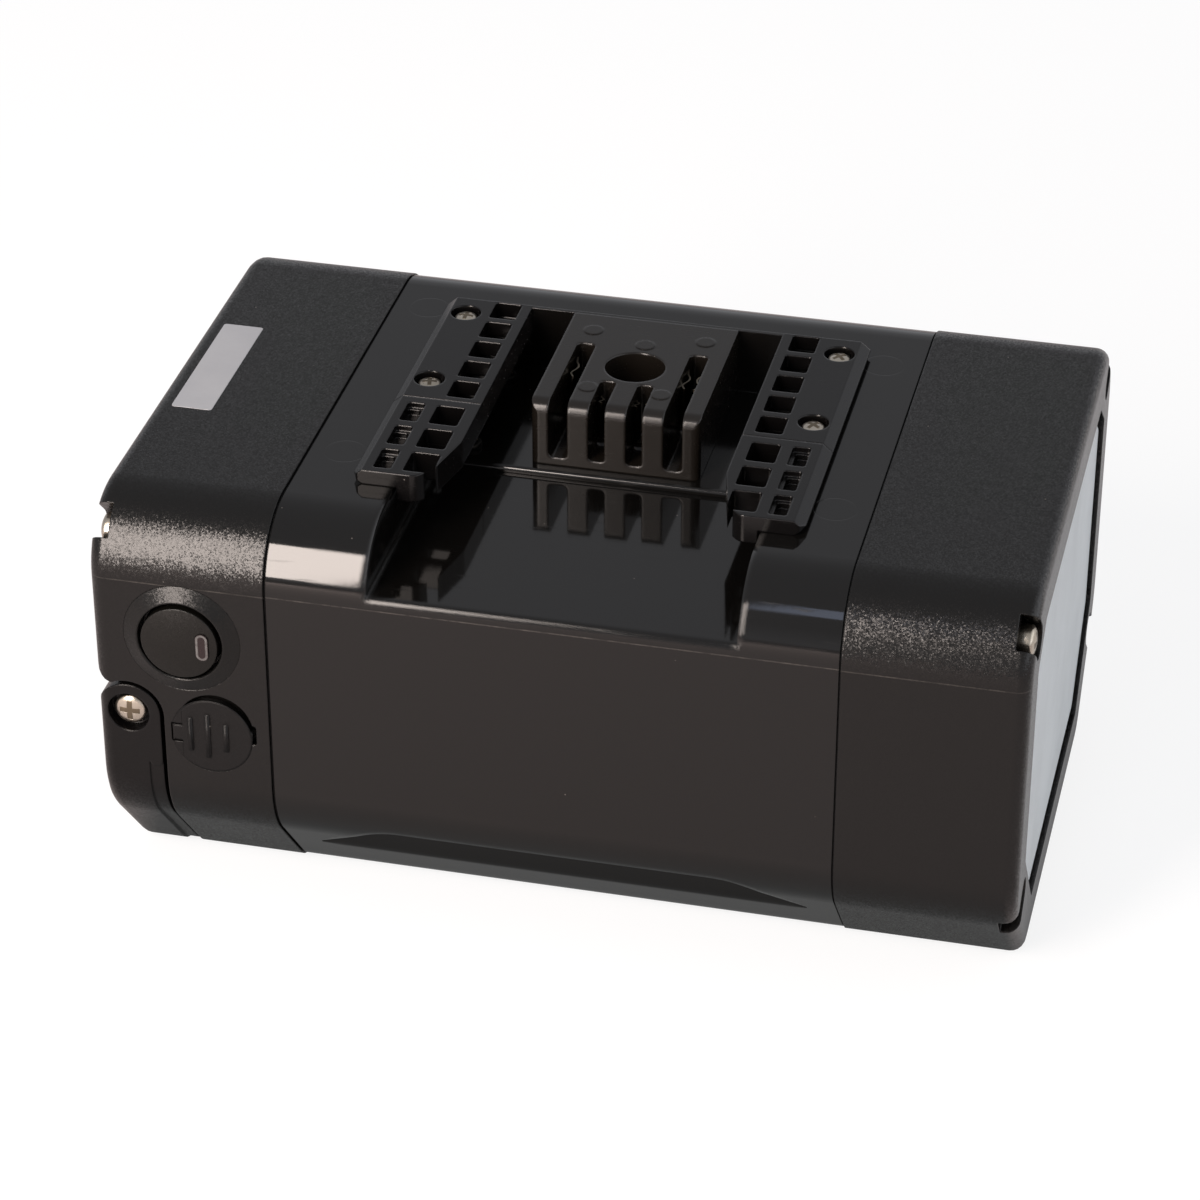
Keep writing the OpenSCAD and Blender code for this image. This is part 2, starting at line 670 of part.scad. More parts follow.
module mounting_plate() color(colour_dark) {
    difference() {
        union() {
            difference() {
                block(-recess_x + small_r, recess_x - small_r, plate_front_y, rail_back_y, recess_z, plate_z);
                along_x(-recess_x, recess_x) difference() {
                    rect(plate_front_y - small_r, plate_front_y + plate_t * 0.6, plate_z - plate_t * 0.6,
                        plate_z + small_r);
                    translate([plate_front_y + plate_t * 0.6, plate_z - plate_t * 0.6]) circle(plate_t * 0.6);
                }
            }
            block(-rail_in_x, rail_in_x, block_back_y, rail_back_y, recess_z, deck_z - small_r * 0.1);
        }
        for (x = [-1, 1]) rod_y(x * power_slot_x, block_back_y - overrun, rail_back_y + overrun, tail_z, tail_d);
        for (x = [-1, 1], y = [-1, 1])
            rod_z(x * recess_x * 0.85, block_front_y + block_l * (y > 0 ? 0.85 : 0.1), recess_z - overrun,
                plate_z + overrun, small_screw_d);
    }
}

module plate_screws() color(colour_steel)
    for (x = [-1, 1], y = [-1, 1]) {
        sy = block_front_y + block_l * (y > 0 ? 0.85 : 0.1);
        rod_z(x * recess_x * 0.85, sy, recess_z - wall, plate_z, small_screw_d);
        rod_z(x * recess_x * 0.85, sy, plate_z, plate_z + small_head_h, small_head_d);
    }

// A slot, w wide and l long from the block's front: round at the bottom up to the contact's foot,
// and with rounded corners at its end
module terminal_slot(x, w, l) {
    foot_y = block_front_y + l * 0.58;
    low_z = slot_z - w * 0.175;
    along_y(block_front_y - overrun, foot_y) rounded([[x - w / 2, low_z], [x + w / 2, low_z],
        [x + w / 2, deck_z + overrun], [x - w / 2, deck_z + overrun]], [w * 0.3, w * 0.3, small_r, small_r]);
    along_z(slot_z, deck_z + overrun) rounded([[x - w / 2, foot_y - overrun], [x + w / 2, foot_y - overrun],
        [x + w / 2, block_front_y + l], [x - w / 2, block_front_y + l]], [small_r * 0.2, small_r * 0.2, w * 0.3, w * 0.3]);
}

module terminal_block() color(colour_dark) {
    hx = block_w / 2;
    difference() {
        along_z(plate_z, deck_z) rounded([[-hx, block_front_y], [hx, block_front_y], [hx, block_back_y],
            [-hx, block_back_y]], [small_r * 2.5, small_r * 2.5, small_r * 0.2, small_r * 0.2]);
        along_x(-hx - overrun, hx + overrun) difference() {
            rect(block_front_y - overrun, block_front_y + block_edge_r, deck_z - block_edge_r, deck_z + overrun);
            translate([block_front_y + block_edge_r, deck_z - block_edge_r]) circle(block_edge_r);
        }
        for (s = [-1, 1]) {
            terminal_slot(s * power_slot_x, power_slot_w, power_slot_l);
            terminal_slot(s * signal_slot_x, signal_slot_w, signal_slot_l);
            rod_y(s * power_slot_x, block_front_y + power_slot_l - overrun, block_back_y + overrun, tail_z, tail_d);
            block(s * signal_slot_x - contact_w * 0.3, s * signal_slot_x + contact_w * 0.3,
                block_front_y + signal_slot_l * 0.72, block_front_y + signal_slot_l * 0.82,
                plate_z - overrun, slot_z + overrun);
        }
        rod_z(0, lock_y, deck_z - lock_bore_depth, deck_z + overrun, lock_bore_d);
    }
    for (p = [[power_slot_x, block_l * 0.826], [0, block_l * 0.723],
            [(power_slot_x + signal_slot_x) / 2 - small_r * 0.5, block_l * 0.216]], s = [-1, 1])
        if (p[0] > 0 || s > 0)
            rod_z(s * p[0], block_front_y + p[1], deck_z - small_r, deck_z + small_r * 0.25, mark_d);
}

// Forked contact in a slot: two upright leaves on a foot
module contact(x, y0, y1, w, z1) {
    leaf = w * 0.12;
    mid = w / 2 - hair * 2 - leaf / 2;
    block(x - mid, x + mid, y0, y1 - w * 0.3, slot_z, slot_z + leaf);
    block(x - w * 0.18, x + w * 0.18, y0, y1 - hair * 2, slot_z, slot_z + leaf);
    for (s = [-1, 1])
        block(x + s * mid - leaf / 2, x + s * mid + leaf / 2, y0, y1 - w * 0.3, slot_z, z1);
}

module power_contacts() color(colour_copper)
    for (s = [-1, 1]) {
        contact(s * power_slot_x, block_front_y + power_slot_l * 0.62, block_front_y + power_slot_l,
            power_slot_w, deck_z - power_slot_w * 0.7);
        rod_y(s * power_slot_x, block_front_y + power_slot_l, rail_back_y + wall * 1.6, tail_z, tail_d);
    }

module signal_contacts() color(colour_copper)
    for (s = [-1, 1]) {
        contact(s * signal_slot_x, block_front_y + signal_slot_l * 0.66, block_front_y + signal_slot_l,
            signal_slot_w, deck_z - signal_slot_w * 0.9);
        block(s * signal_slot_x - contact_w * 0.3, s * signal_slot_x + contact_w * 0.3,
            block_front_y + signal_slot_l * 0.72, block_front_y + signal_slot_l * 0.82, plate_z, slot_z);
    }

// Section of a rail in X and Z, with its pointed outer edge
module rail_2d() {
    tip_z = deck_z - rail_h * 0.56;
    polygon([[rail_in_x, deck_z], [rail_in_x, deck_z - nose_h], [rail_in_x + rail_wall, deck_z - nose_h],
        [rail_in_x + rail_wall, shell_top], [rail_out_x, shell_top], [rail_tip_x, tip_z], [rail_out_x, deck_z]]);
}

module rail(y0, y1) { along_y(y0, y1) rail_2d(); }

module rear_rail() {
    difference() {
        rail(nose_back_y + small_r * 0.3, rail_back_y);
        for (i = [0:rear_windows - 1]) translate([0, rail_back_y - rear_window_l * 0.565 - i * rear_window_pitch, 0])
            along_z(shell_top - overrun, deck_z + overrun)
                rounded_rect(rear_window_x - rear_window_w / 2, rear_window_x + rear_window_w / 2,
                    -rear_window_l / 2, rear_window_l / 2, small_r);
        for (y = rail_screw_y) {
            rod_z(rail_screw_x, y, shell_top + rail_h * 0.24, deck_z + overrun, rail_hole_d);
            rod_z(rail_screw_x, y, shell_top - overrun, deck_z, small_screw_d);
        }
    }
}

module rail_nose() {
    difference() {
        union() {
            intersection() {
                union() {
                    rail(nose_front_y, nose_back_y);
                    block(rail_in_x, recess_x - small_r, nose_front_y, nose_back_y, deck_z - nose_h, deck_z);
                }
                along_z(0, body_h * 2) rounded([[rail_in_x, nose_back_y], [rail_in_x, nose_front_y + nose_l * 0.5],
                    [rail_in_x + rail_w * 0.17, nose_front_y + nose_l * 0.1],
                    [rail_in_x + rail_w * 0.34, nose_front_y], [rail_tip_x - rail_edge * 0.5, nose_front_y],
                    [rail_tip_x, nose_front_y + rail_edge], [rail_tip_x, nose_back_y]],
                    [small_r * 0.2, nose_l * 0.2, small_r * 4, small_r * 4, small_r, small_r, small_r * 0.2]);
            }
            rod_z(rail_screw_x, nose_peg_y, shell_top - small_screw_d * 1.6, shell_top + small_r, small_screw_d);
        }
        for (i = [0:2]) translate([0, nose_back_y - nose_window_l * 0.8 - i * nose_window_pitch, 0]) {
            along_z(deck_z - nose_h - overrun, deck_z + overrun)
                rounded_rect(nose_window_x - nose_window_w / 2, nose_window_x + nose_window_w / 2,
                    -nose_window_l / 2, nose_window_l / 2, small_r);
            along_z(deck_z - rail_h * 0.4, deck_z + overrun)
                rounded_rect(nose_slot_x - nose_slot_w / 2, nose_slot_x + nose_slot_w / 2,
                    -nose_window_l / 2, nose_window_l / 2, small_r);
            along_z(deck_z - rail_h * 0.8, deck_z + overrun)
                rounded_rect(nose_slot_x - nose_slot_w / 2 + rail_wall / 2, nose_slot_x + nose_slot_w / 2,
                    -nose_window_l / 2 + rail_wall / 2, nose_window_l / 2 - rail_wall / 2, small_r);
        }
    }
}

module right_rail() color(colour_dark) rear_rail();

module left_rail() color(colour_dark) mirror([1, 0, 0]) rear_rail();

module right_rail_nose() color(colour_dark) rail_nose();

module left_rail_nose() color(colour_dark) mirror([1, 0, 0]) rail_nose();

module rail_screws() color(colour_steel)
    both_x() for (y = rail_screw_y) {
        seat_z = shell_top + rail_h * 0.24;
        rod_z(rail_screw_x, y, shell_top - small_screw_d * 2, seat_z, small_screw_d);
        difference() {
            rod_z(rail_screw_x, y, seat_z, seat_z + small_head_h, small_head_d);
            translate([rail_screw_x, y, seat_z + small_head_h]) for (a = [0, 90]) rotate(a)
                cube([small_head_d * 0.6, small_head_d * 0.16, small_head_h * 1.2], center = true);
        }
    }

module handle() color(colour_cap) {
    difference() {
        intersection() {
            cap_blank(cap_in_l, xl, -1);
            along_y(-half_w - overrun, half_w + overrun) {
                translate([pivot_x, pivot_z]) circle(d = handle_w);
                rect(xl - overrun, xl + handle_w, -overrun, pivot_z);
            }
        }
        along_x(xl - overrun, zone_x) section(handle_t);
        both_y() {
            rod_y(pivot_x, half_w - pivot_counterbore_depth, half_w + overrun, pivot_z, pivot_counterbore_d);
            rod_y(pivot_x, arm_in_y - overrun, half_w, pivot_z, bush_d + bush_play);
        }
        difference() {
            along_x(strip_x, zone_x) difference() {
                rect(-half_w - overrun, half_w + overrun, -overrun, strip_z);
                section(strip_depth);
            }
            both_y() rod_y(strip_x + strip_w / 2, half_w - wall, half_w + overrun, strip_z, strip_w);
        }
    }
}

module handle_bushes() color(colour_steel)
    both_y() difference() {
        rod_y(pivot_x, zone_y, half_w - pivot_counterbore_depth + bush_play, pivot_z, bush_d);
        rod_y(pivot_x, zone_y - overrun, half_w, pivot_z, screw_d);
    }

module handle_screws() color(colour_steel)
    both_y() {
        seat_y = half_w - pivot_counterbore_depth + bush_play;
        rod_y(pivot_x, zone_y - post_d * 0.7, seat_y, pivot_z, screw_d);
        difference() {
            rod_y(pivot_x, seat_y, seat_y + screw_head_h, pivot_z, screw_head_d);
            translate([pivot_x, seat_y + screw_head_h, pivot_z]) for (a = [0, 90]) rotate([0, a, 0])
                cube([screw_head_d * 0.55, screw_head_h * 1.2, screw_head_d * 0.15], center = true);
        }
    }

// Bodies of revolution that point out of the button face: X of the outline is the radius
module out_of_face(x, z) { translate([x, face_y, z]) rotate([90, 0, 0]) rotate_extrude() children(); }

module button_bezel() color(colour_rubber)
    out_of_face(button_x, button_z) {
        ri = button_d / 2 + bezel_gap;
        ro = bezel_rim_d / 2 + wall * 0.3;
        polygon([[ri, -bezel_tube], [ro, -bezel_tube], [ro, -wall * 0.4], [bezel_d / 2, -wall * 0.4],
            [bezel_d / 2, 0], [bezel_rim_d / 2, bezel_rise], [bezel_rim_d / 2 - bezel_gap, bezel_rise],
            [bezel_rim_d / 2 - bezel_gap * 2, bezel_rise - bezel_gap], [bezel_rim_d / 2 - bezel_gap * 2, -wall],
            [ri, -wall]]);
    }

module window_2d(d) {
    r = window_w / 2 - d;
    for (s = [-1, 1]) translate([0, s * (window_h / 2 - window_w / 2)]) circle(r);
    rect(hair - r, r - hair, -(window_h - window_w) / 2, (window_h - window_w) / 2);
}

module power_button() color(colour_cap) {
    r = button_d / 2;
    difference() {
        out_of_face(button_x, button_z) {
            intersection() {
                rounded_rect(-r, r, -bezel_tube - wall - r, button_rise, small_r);
                translate([0, button_rise - button_d * 2.5]) circle(button_d * 2.5);
                rect(0, r, -bezel_tube - wall, button_rise);
            }
            rect(0, r + bezel_gap * 4, -bezel_tube - wall, -bezel_tube - bezel_gap / 2);
        }
        translate([button_x + window_inset, face_y, button_z]) along_y(-button_rise - overrun,
            -button_rise + window_w * 0.5) window_2d(0);
        rod_y(button_x, face_y + bezel_tube, face_y + bezel_tube + wall + overrun, button_z, boot_d);
    }
}

module led_window() color(colour_sheet)
    translate([button_x + window_inset, face_y, button_z])
        along_y(-button_rise + window_d, -button_rise + window_w * 0.5) window_2d(0);

module button_boot() color(colour_rubber)
    out_of_face(button_x, button_z) {
        r = boot_d / 2 - small_r;
        h0 = -bezel_tube;
        h1 = -switch_depth;
        n = 3;
        polygon(concat(
            [for (i = [0:2 * n]) [r - (i % 2) * small_r * 1.5, h0 + (h1 - h0) * i / (2 * n)]],
            [for (i = [2 * n:-1:0]) [r - small_r - (i % 2) * small_r * 1.5, h0 + (h1 - h0) * i / (2 * n)]]));
    }

module switch_board() color(colour_board) {
    y0 = face_y + switch_depth;
    difference() {
        union() {
            block(button_x - button_d * 0.7, button_x + button_d * 0.7, y0, y0 + board_t,
                button_z - button_d * 0.7, button_z + button_d * 0.55);
            block(button_x - boot_d * 0.2, button_x + boot_d * 0.2, y0 - (switch_depth - bezel_tube) * 0.45, y0,
                button_z - boot_d * 0.2, button_z + boot_d * 0.2);
            rod_y(button_x, face_y + bezel_tube + button_travel * 1.3, y0, button_z, boot_d * 0.16);
            block(button_x - button_d * 0.2, button_x + button_d * 0.2, y0 + board_t, y0 + board_t * 4,
                button_z - button_d * 0.5, button_z - button_d * 0.2);
        }
    }
}

module switch_posts() color(colour_holder)
    for (p = [[-1, 1], [1, 1], [1, -1]])
        rod_y(button_x + p[0] * button_d * 0.58, face_y + wall * 1.4, face_y + switch_depth,
            button_z + p[1] * button_d * 0.58, wall * 1.3);

module charge_port_cover() color(colour_rubber) {
    difference() {
        union() {
            intersection() {
                rod_y(port_x, face_y, face_y + cover_t, port_z, cover_d);
                block(hinge_x + cover_t * 0.7, port_x + cover_r, face_y, face_y + cover_t,
                    port_z - cover_r, port_z + cover_r);
            }
            along_y(face_y, face_y + cover_t) rounded_rect(port_x, port_x + cover_r * 1.06,
                port_z - cover_r * 0.04, port_z + cover_r * 0.26, small_r);
            rod_z(hinge_x, hinge_y, port_z - cover_r * 0.27, port_z + cover_r * 0.27, cover_t);
            block(hinge_x, hinge_x + cover_t, face_y, face_y + cover_t,
                port_z - cover_r * 0.27, port_z + cover_r * 0.27);
            for (r = [[-0.55, 0.95], [-0.1, 1.25], [0.37, 0.78]])
                block(port_x + cover_r * r[0] - ridge_h, port_x + cover_r * r[0] + ridge_h,
                    face_y - ridge_h, face_y + overrun / 2, port_z - cover_r * r[1] / 2, port_z + cover_r * r[1] / 2);
            rod_y(port_x, face_y + cover_t / 2, face_y + cover_t + ridge_h * 2, port_z, plug_hole_d * 0.68);
        }
        rod_z(hinge_x, hinge_y, port_z - cover_r, port_z + cover_r, cover_t * 0.45 + bush_play);
        rod_y(port_x, face_y + cover_t, face_y + cover_t + ridge_h * 3, port_z, plug_hole_d * 0.5);
    }
}

module cover_pin() color(colour_steel)
    rod_z(hinge_x, hinge_y, port_z - cover_r * 0.8, port_z + cover_r * 0.9, cover_t * 0.45);

module charge_socket() color(colour_dark) {
    y0 = face_y + port_depth;
    difference() {
        union() {
            rod_y(port_x, y0, y0 + wall * 0.4, port_z, socket_d + wall);
            rod_y(port_x, y0, y0 + plug_hole_depth * 1.45, port_z, socket_d);
        }
        rod_y(port_x, y0 - overrun, y0 + plug_hole_depth, port_z, plug_hole_d);
    }
}

module charge_pin() color(colour_copper)
    rod_y(port_x, face_y + port_depth + wall, face_y + port_depth + plug_hole_depth, port_z, plug_hole_d * 0.36);

module charge_nut() color(colour_steel)
    difference() {
        translate([port_x, pad_y + wall, port_z]) rotate([90, 0, 0])
            cylinder(h = wall, d = socket_d * 1.42, $fn = 6);
        rod_y(port_x, pad_y - overrun, pad_y + wall + overrun, port_z, socket_d);
    }

// Middles of the cells in X and Z; the bottom row holds one less
function row_z(r) = top_row_z - r * cell_pitch;
function row_n(r) = cell_columns - (r == 2 ? 1 : 0);
cell_at = [for (r = [0:cell_rows - 1]) for (i = [0:row_n(r) - 1])
    [(i - (row_n(r) - 1) / 2) * cell_pitch, row_z(r)]];

module bank() {
    for (c = cell_at) {
        rod_y(c[0], bank_gap / 2, bank_gap / 2 + cell_l, c[1], cell_d);
    }
}

module cells_front_bank() color(colour_cell) mirror([0, 1, 0]) bank();

module cells_back_bank() color(colour_cell) bank();

module holder(y0) {
    along_y(y0, y0 + holder_t) difference() {
        union() {
            rounded_rect(-pack_x, pack_x, row_z(min(cell_rows - 1, 1)) - cell_pitch / 2,
                top_row_z + cell_d / 2 + holder_rim, wall);
            rounded_rect(-pack_x + cell_pitch / 2, pack_x - cell_pitch / 2, ledge_z, top_row_z, small_r);
        }
        for (c = cell_at) translate(c) circle(d = cell_d);
    }
}

module front_outer_holder() color(colour_holder) holder(-pack_y);

module front_inner_holder() color(colour_holder) holder(-bank_gap / 2 - holder_t);

module back_inner_holder() color(colour_holder) holder(bank_gap / 2);

module back_outer_holder() color(colour_holder) holder(pack_y - holder_t);

// Nickel strips over the cell ends: one along each row with links between the rows
module strips(y0) {
    along_y(y0, y0 + nickel_t) {
        for (r = [0:cell_rows - 1]) {
            n = row_n(r);
            rect(-(n - 1) / 2 * cell_pitch - nickel_w / 2, (n - 1) / 2 * cell_pitch + nickel_w / 2,
                row_z(r) - nickel_w / 2, row_z(r) + nickel_w / 2);
        }
        for (i = [0:2:4]) rect((i - 2) * cell_pitch - nickel_w / 2, (i - 2) * cell_pitch + nickel_w / 2,
            low_row_z, top_row_z);
    }
}

module front_strips() color(colour_steel) strips(-pack_y - nickel_t);

module back_strips() color(colour_steel) strips(pack_y);

module middle_strips() color(colour_steel) {
    strips(-bank_gap / 2);
    strips(bank_gap / 2 - nickel_t);
}

module middle_sheet() color(colour_sheet)
    along_y(-bank_gap / 2 + nickel_t, bank_gap / 2 - nickel_t)
        rounded_rect(-pack_x + cell_pitch, pack_x - cell_pitch, low_row_z - cell_d * 0.4,
            top_row_z + cell_d * 0.4, wall);

module insulation_sheets() color(colour_sheet)
    both_y() along_y(pack_y + nickel_t, pack_y + nickel_t + sheet_t)
        rounded_rect(-pack_x, pack_x, low_row_z - cell_d * 0.4, top_row_z + cell_d * 0.45, wall);

module foam_pads() color(colour_rubber)
    both_y() for (s = [-1, 1])
        along_y(pack_y + nickel_t + sheet_t, half_w - shell_in - hair * 2)
            rounded_rect(s * pack_x / 2 - cell_pitch, s * pack_x / 2 + cell_pitch,
                top_row_z - cell_pitch * 1.5, top_row_z + cell_d * 0.3, wall);

module bms_board() color(colour_board)
    difference() {
        block(-board_l / 2, board_l / 2, -board_w / 2, board_w / 2, board_z, board_z + board_t);
        for (x = [-1, 1], y = [-1, 1])
            rod_z(x * board_l * 0.46, y * board_w * 0.43, board_z - overrun, board_z + board_t + overrun,
                small_screw_d);
    }

board_top = board_z + board_t;
module bms_parts() color(colour_dark) {
    room = ledge_z - board_top;
    for (i = [0:7]) block(-board_l * 0.3 + i * board_l * 0.08, -board_l * 0.25 + i * board_l * 0.08,
        -board_w * 0.4, -board_w * 0.24, board_top, board_top + room * 0.3);
    for (i = [0:2]) rod_z(board_l * (0.1 + i * 0.1), board_w * 0.1, board_top, board_top + room * 0.5,
        board_w * 0.14);
    block(-board_l * 0.15, board_l * 0.02, 0, board_w * 0.2, board_top, board_top + room * 0.12);
    block(-board_l * 0.3, board_l * 0.34, board_w * 0.28, board_w * 0.38, board_top, board_top + room * 0.4);
}

module heat_sink() color(colour_steel) {
    room = ledge_z - board_top;
    z0 = board_top + room * 0.3;
    block(-board_l * 0.32, board_l * 0.38, -board_w * 0.42, -board_w * 0.2, z0, z0 + room * 0.12);
    for (i = [0:4]) block(-board_l * 0.32, board_l * 0.38, -board_w * (0.42 - i * 0.05),
        -board_w * (0.4 - i * 0.05), z0, z0 + room * 0.45);
}

module bms_terminals() color(colour_copper) {
    for (y = lead_y) block(lead_x, lead_x + board_l * 0.08, y - lead_d * 0.9, y + lead_d * 0.9,
        board_top, board_top + lead_d * 2);
    block(-lead_x - board_l * 0.08, -lead_x, lead_y[1] - lead_d * 0.9, lead_y[1] + lead_d * 0.9,
        board_top, board_top + lead_d * 2);
}

module bms_screws() color(colour_steel)
    for (x = [-1, 1], y = [-1, 1]) {
        rod_z(x * board_l * 0.46, y * board_w * 0.43, wall, board_top, small_screw_d);
        rod_z(x * board_l * 0.46, y * board_w * 0.43, board_top, board_top + small_head_h, small_head_d);
    }

module fuse_holder() color(colour_holder) {
    x = xr - right_cap_l * 0.5;
    w = right_cap_l * 0.3;
    difference() {
        block(x - w / 2, x + w / 2, -fuse_l / 2, fuse_l / 2, wall * 2, wall * 2 + w * 0.8);
        block(x - w * 0.3, x + w * 0.3, -fuse_l * 0.4, fuse_l * 0.4, wall * 2 + w * 0.25, wall * 2 + w);
        for (y = [-1, 1]) rod_z(x, y * fuse_l * 0.3, wall, wall * 4, small_screw_d * 0.8);
    }
}

module fuse() color(colour_copper) {
    x = xr - right_cap_l * 0.5;
    w = right_cap_l * 0.3;
    rod_y(x, -fuse_l * 0.4, fuse_l * 0.4, wall * 2 + w * 0.6, w * 0.42);
}

module fuse_screws() color(colour_steel)
    for (y = [-1, 1]) {
        x = xr - right_cap_l * 0.5;
        w = right_cap_l * 0.3;
        rod_z(x, y * fuse_l * 0.3, wall, wall * 2 + w * 0.25, small_screw_d * 0.8);
        rod_z(x, y * fuse_l * 0.3, wall * 2 + w * 0.25, wall * 2 + w * 0.36, small_screw_d * 1.5);
    }

// Smooth path through the given points, k steps between two of them
function bend(p, k) = [for (i = [0:len(p) - 2]) for (j = [0:k - (i == len(p) - 2 ? 0 : 1)]) let (
    t = j / k, a = p[max(i - 1, 0)], b = p[i], c = p[i + 1], d = p[min(i + 2, len(p) - 1)])
    (2 * b + (c - a) * t + (2 * a - 5 * b + 4 * c - d) * t * t + (3 * b - 3 * c + d - a) * t * t * t) / 2];
function along(p, i) = unit(p[min(i + 1, len(p) - 1)] - p[max(i - 1, 0)]);
function sides(p, n, i) = i >= len(p) ? [] : let (t = along(p, i), m = unit(n - t * (n * t)))
    concat([m], sides(p, m, i + 1));

// Round lead along a smooth path; n is a direction across its start
module lead(points, d, n) {
    p = bend(points, 2);
    m = sides(p, n, 0);
    k = lead_sides;
    polyhedron([for (i = [0:len(p) - 1]) for (j = [0:k - 1]) p[i]
        + (m[i] * cos(360 * j / k) + cross(along(p, i), m[i]) * sin(360 * j / k)) * d / 2],
        ring_faces(len(p), k));
}

lead_d = screw_d * 0.95;
lead_sides = 10;
thin_lead_d = screw_d * 0.7;
lead_y = [-board_w * 0.04, board_w * 0.155, -board_w * 0.38, -board_w * 0.21];
lead_z = board_top + lead_d;
lead_x = -board_l * 0.43;
tail_y = rail_back_y + wall * 1.6;
run_y = rail_back_y + wall + lead_d * 1.5;
drop = tail_z - lead_z;
socket_y = face_y + port_depth + plug_hole_depth * 1.45;
plug_y = face_y + switch_depth + board_t * 4;
plug_z = button_z - button_d * 0.35;
fuse_x = xr - right_cap_l * 0.65;
fuse_z = wall * 2 + right_cap_l * 0.12;

negative_path = [[-power_slot_x, tail_y, tail_z], [-power_slot_x - lead_d * 0.4, tail_y + lead_d * 0.9, tail_z],
    [-power_slot_x - lead_d * 2, run_y, tail_z], [seam_l * 0.85, run_y, tail_z],
    [seam_l - lead_d, run_y - lead_d, tail_z - drop * 0.05],
    [seam_l - lead_d * 2.3, run_y - lead_d * 2.5, tail_z - drop * 0.17],
    [seam_l - lead_d * 2.35, run_y * 0.68, tail_z - drop * 0.45],
    [seam_l - lead_d * 2.3, run_y * 0.42, tail_z - drop * 0.72],
    [seam_l - lead_d * 1.2, run_y * 0.12, tail_z - drop * 0.92],
    [seam_l * 0.85, lead_y[0], lead_z], [lead_x, lead_y[0], lead_z]];
positive_path = [[power_slot_x, tail_y, tail_z],
    [power_slot_x - lead_d * 0.3, tail_y + lead_d * 0.9, tail_z - lead_d * 0.3],
    [power_slot_x - lead_d * 2, run_y, tail_z - lead_d * 1.4], [seam_l * 0.5, run_y, tail_z - lead_d * 1.7],
    [seam_l - lead_d * 0.3, run_y - lead_d * 0.8, tail_z - drop * 0.11],
    [seam_l - lead_d * 1.15, run_y - lead_d * 2.4, tail_z - drop * 0.23],
    [seam_l - lead_d * 1.15, run_y * 0.62, tail_z - drop * 0.5],
    [seam_l - lead_d * 1.1, run_y * 0.42, tail_z - drop * 0.76],
    [seam_l * 0.96, run_y * 0.24, tail_z - drop * 0.94],
    [seam_l * 0.8, lead_y[1], lead_z], [lead_x, lead_y[1], lead_z]];
charge_path = [[port_x, socket_y, port_z], [port_x + lead_d * 0.2, socket_y + lead_d * 2, port_z - lead_d * 0.4],
    [seam_l - lead_d * 2.6, socket_y * 0.68, port_z * 0.7], [seam_l - lead_d, socket_y * 0.5, port_z * 0.4],
    [seam_l * 0.86, lead_y[2], lead_z], [lead_x, lead_y[2], lead_z]];
button_path = [[button_x, plug_y, plug_z], [button_x + lead_d * 0.2, plug_y + lead_d * 2, plug_z - lead_d * 0.6],
    [button_x + lead_d, plug_y * 0.66, plug_z * 0.66], [seam_l - lead_d * 2.4, plug_y * 0.42, plug_z * 0.36],
    [seam_l * 0.9, lead_y[3], lead_z], [lead_x, lead_y[3], lead_z]];
fuse_path = [[fuse_x, lead_y[1], fuse_z], [fuse_x - lead_d * 2, lead_y[1], fuse_z],
    [seam_r * 0.86, lead_y[1], lead_z], [-lead_x, lead_y[1], lead_z]];

module negative_lead() color(colour_dark) lead(negative_path, lead_d, [0, 0, 1]);

module positive_lead() color([0.60, 0.08, 0.06]) lead(positive_path, lead_d, [0, 0, 1]);

module charge_lead() color(colour_dark) lead(charge_path, thin_lead_d, [0, 0, 1]);

module button_lead() color(colour_dark) lead(button_path, thin_lead_d, [0, 0, 1]);

module fuse_lead() color([0.60, 0.08, 0.06]) lead(fuse_path, lead_d, [0, 0, 1]);

left_end_cap();
centre_shell();
right_end_cap();
left_gasket();
right_gasket();
right_end_panel();
rating_label();
left_end_screws();
right_end_screws();
mounting_plate();
plate_screws();
terminal_block();
power_contacts();
signal_contacts();
left_rail();
right_rail();
left_rail_nose();
right_rail_nose();
rail_screws();
handle();
handle_bushes();
handle_screws();
button_bezel();
power_button();
led_window();
button_boot();
switch_board();
switch_posts();
charge_port_cover();
cover_pin();
charge_socket();
charge_pin();
charge_nut();
cells_front_bank();
cells_back_bank();
front_outer_holder();
front_inner_holder();
back_inner_holder();
back_outer_holder();
front_strips();
back_strips();
middle_strips();
middle_sheet();
insulation_sheets();
foam_pads();
bms_board();
bms_parts();
heat_sink();
bms_terminals();
bms_screws();
fuse_holder();
fuse();
fuse_screws();
negative_lead();
positive_lead();
charge_lead();
button_lead();
fuse_lead();
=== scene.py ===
# Seat tube e-bike battery: a long box of two grained end caps and a gloss middle shell, with a
# mounting seat on its top, a carrying handle and the controls on its left end.
from math import atan2, cos, degrees, pi, radians, sin, sqrt, tau

import bmesh
import bpy
from mathutils import Matrix, Vector


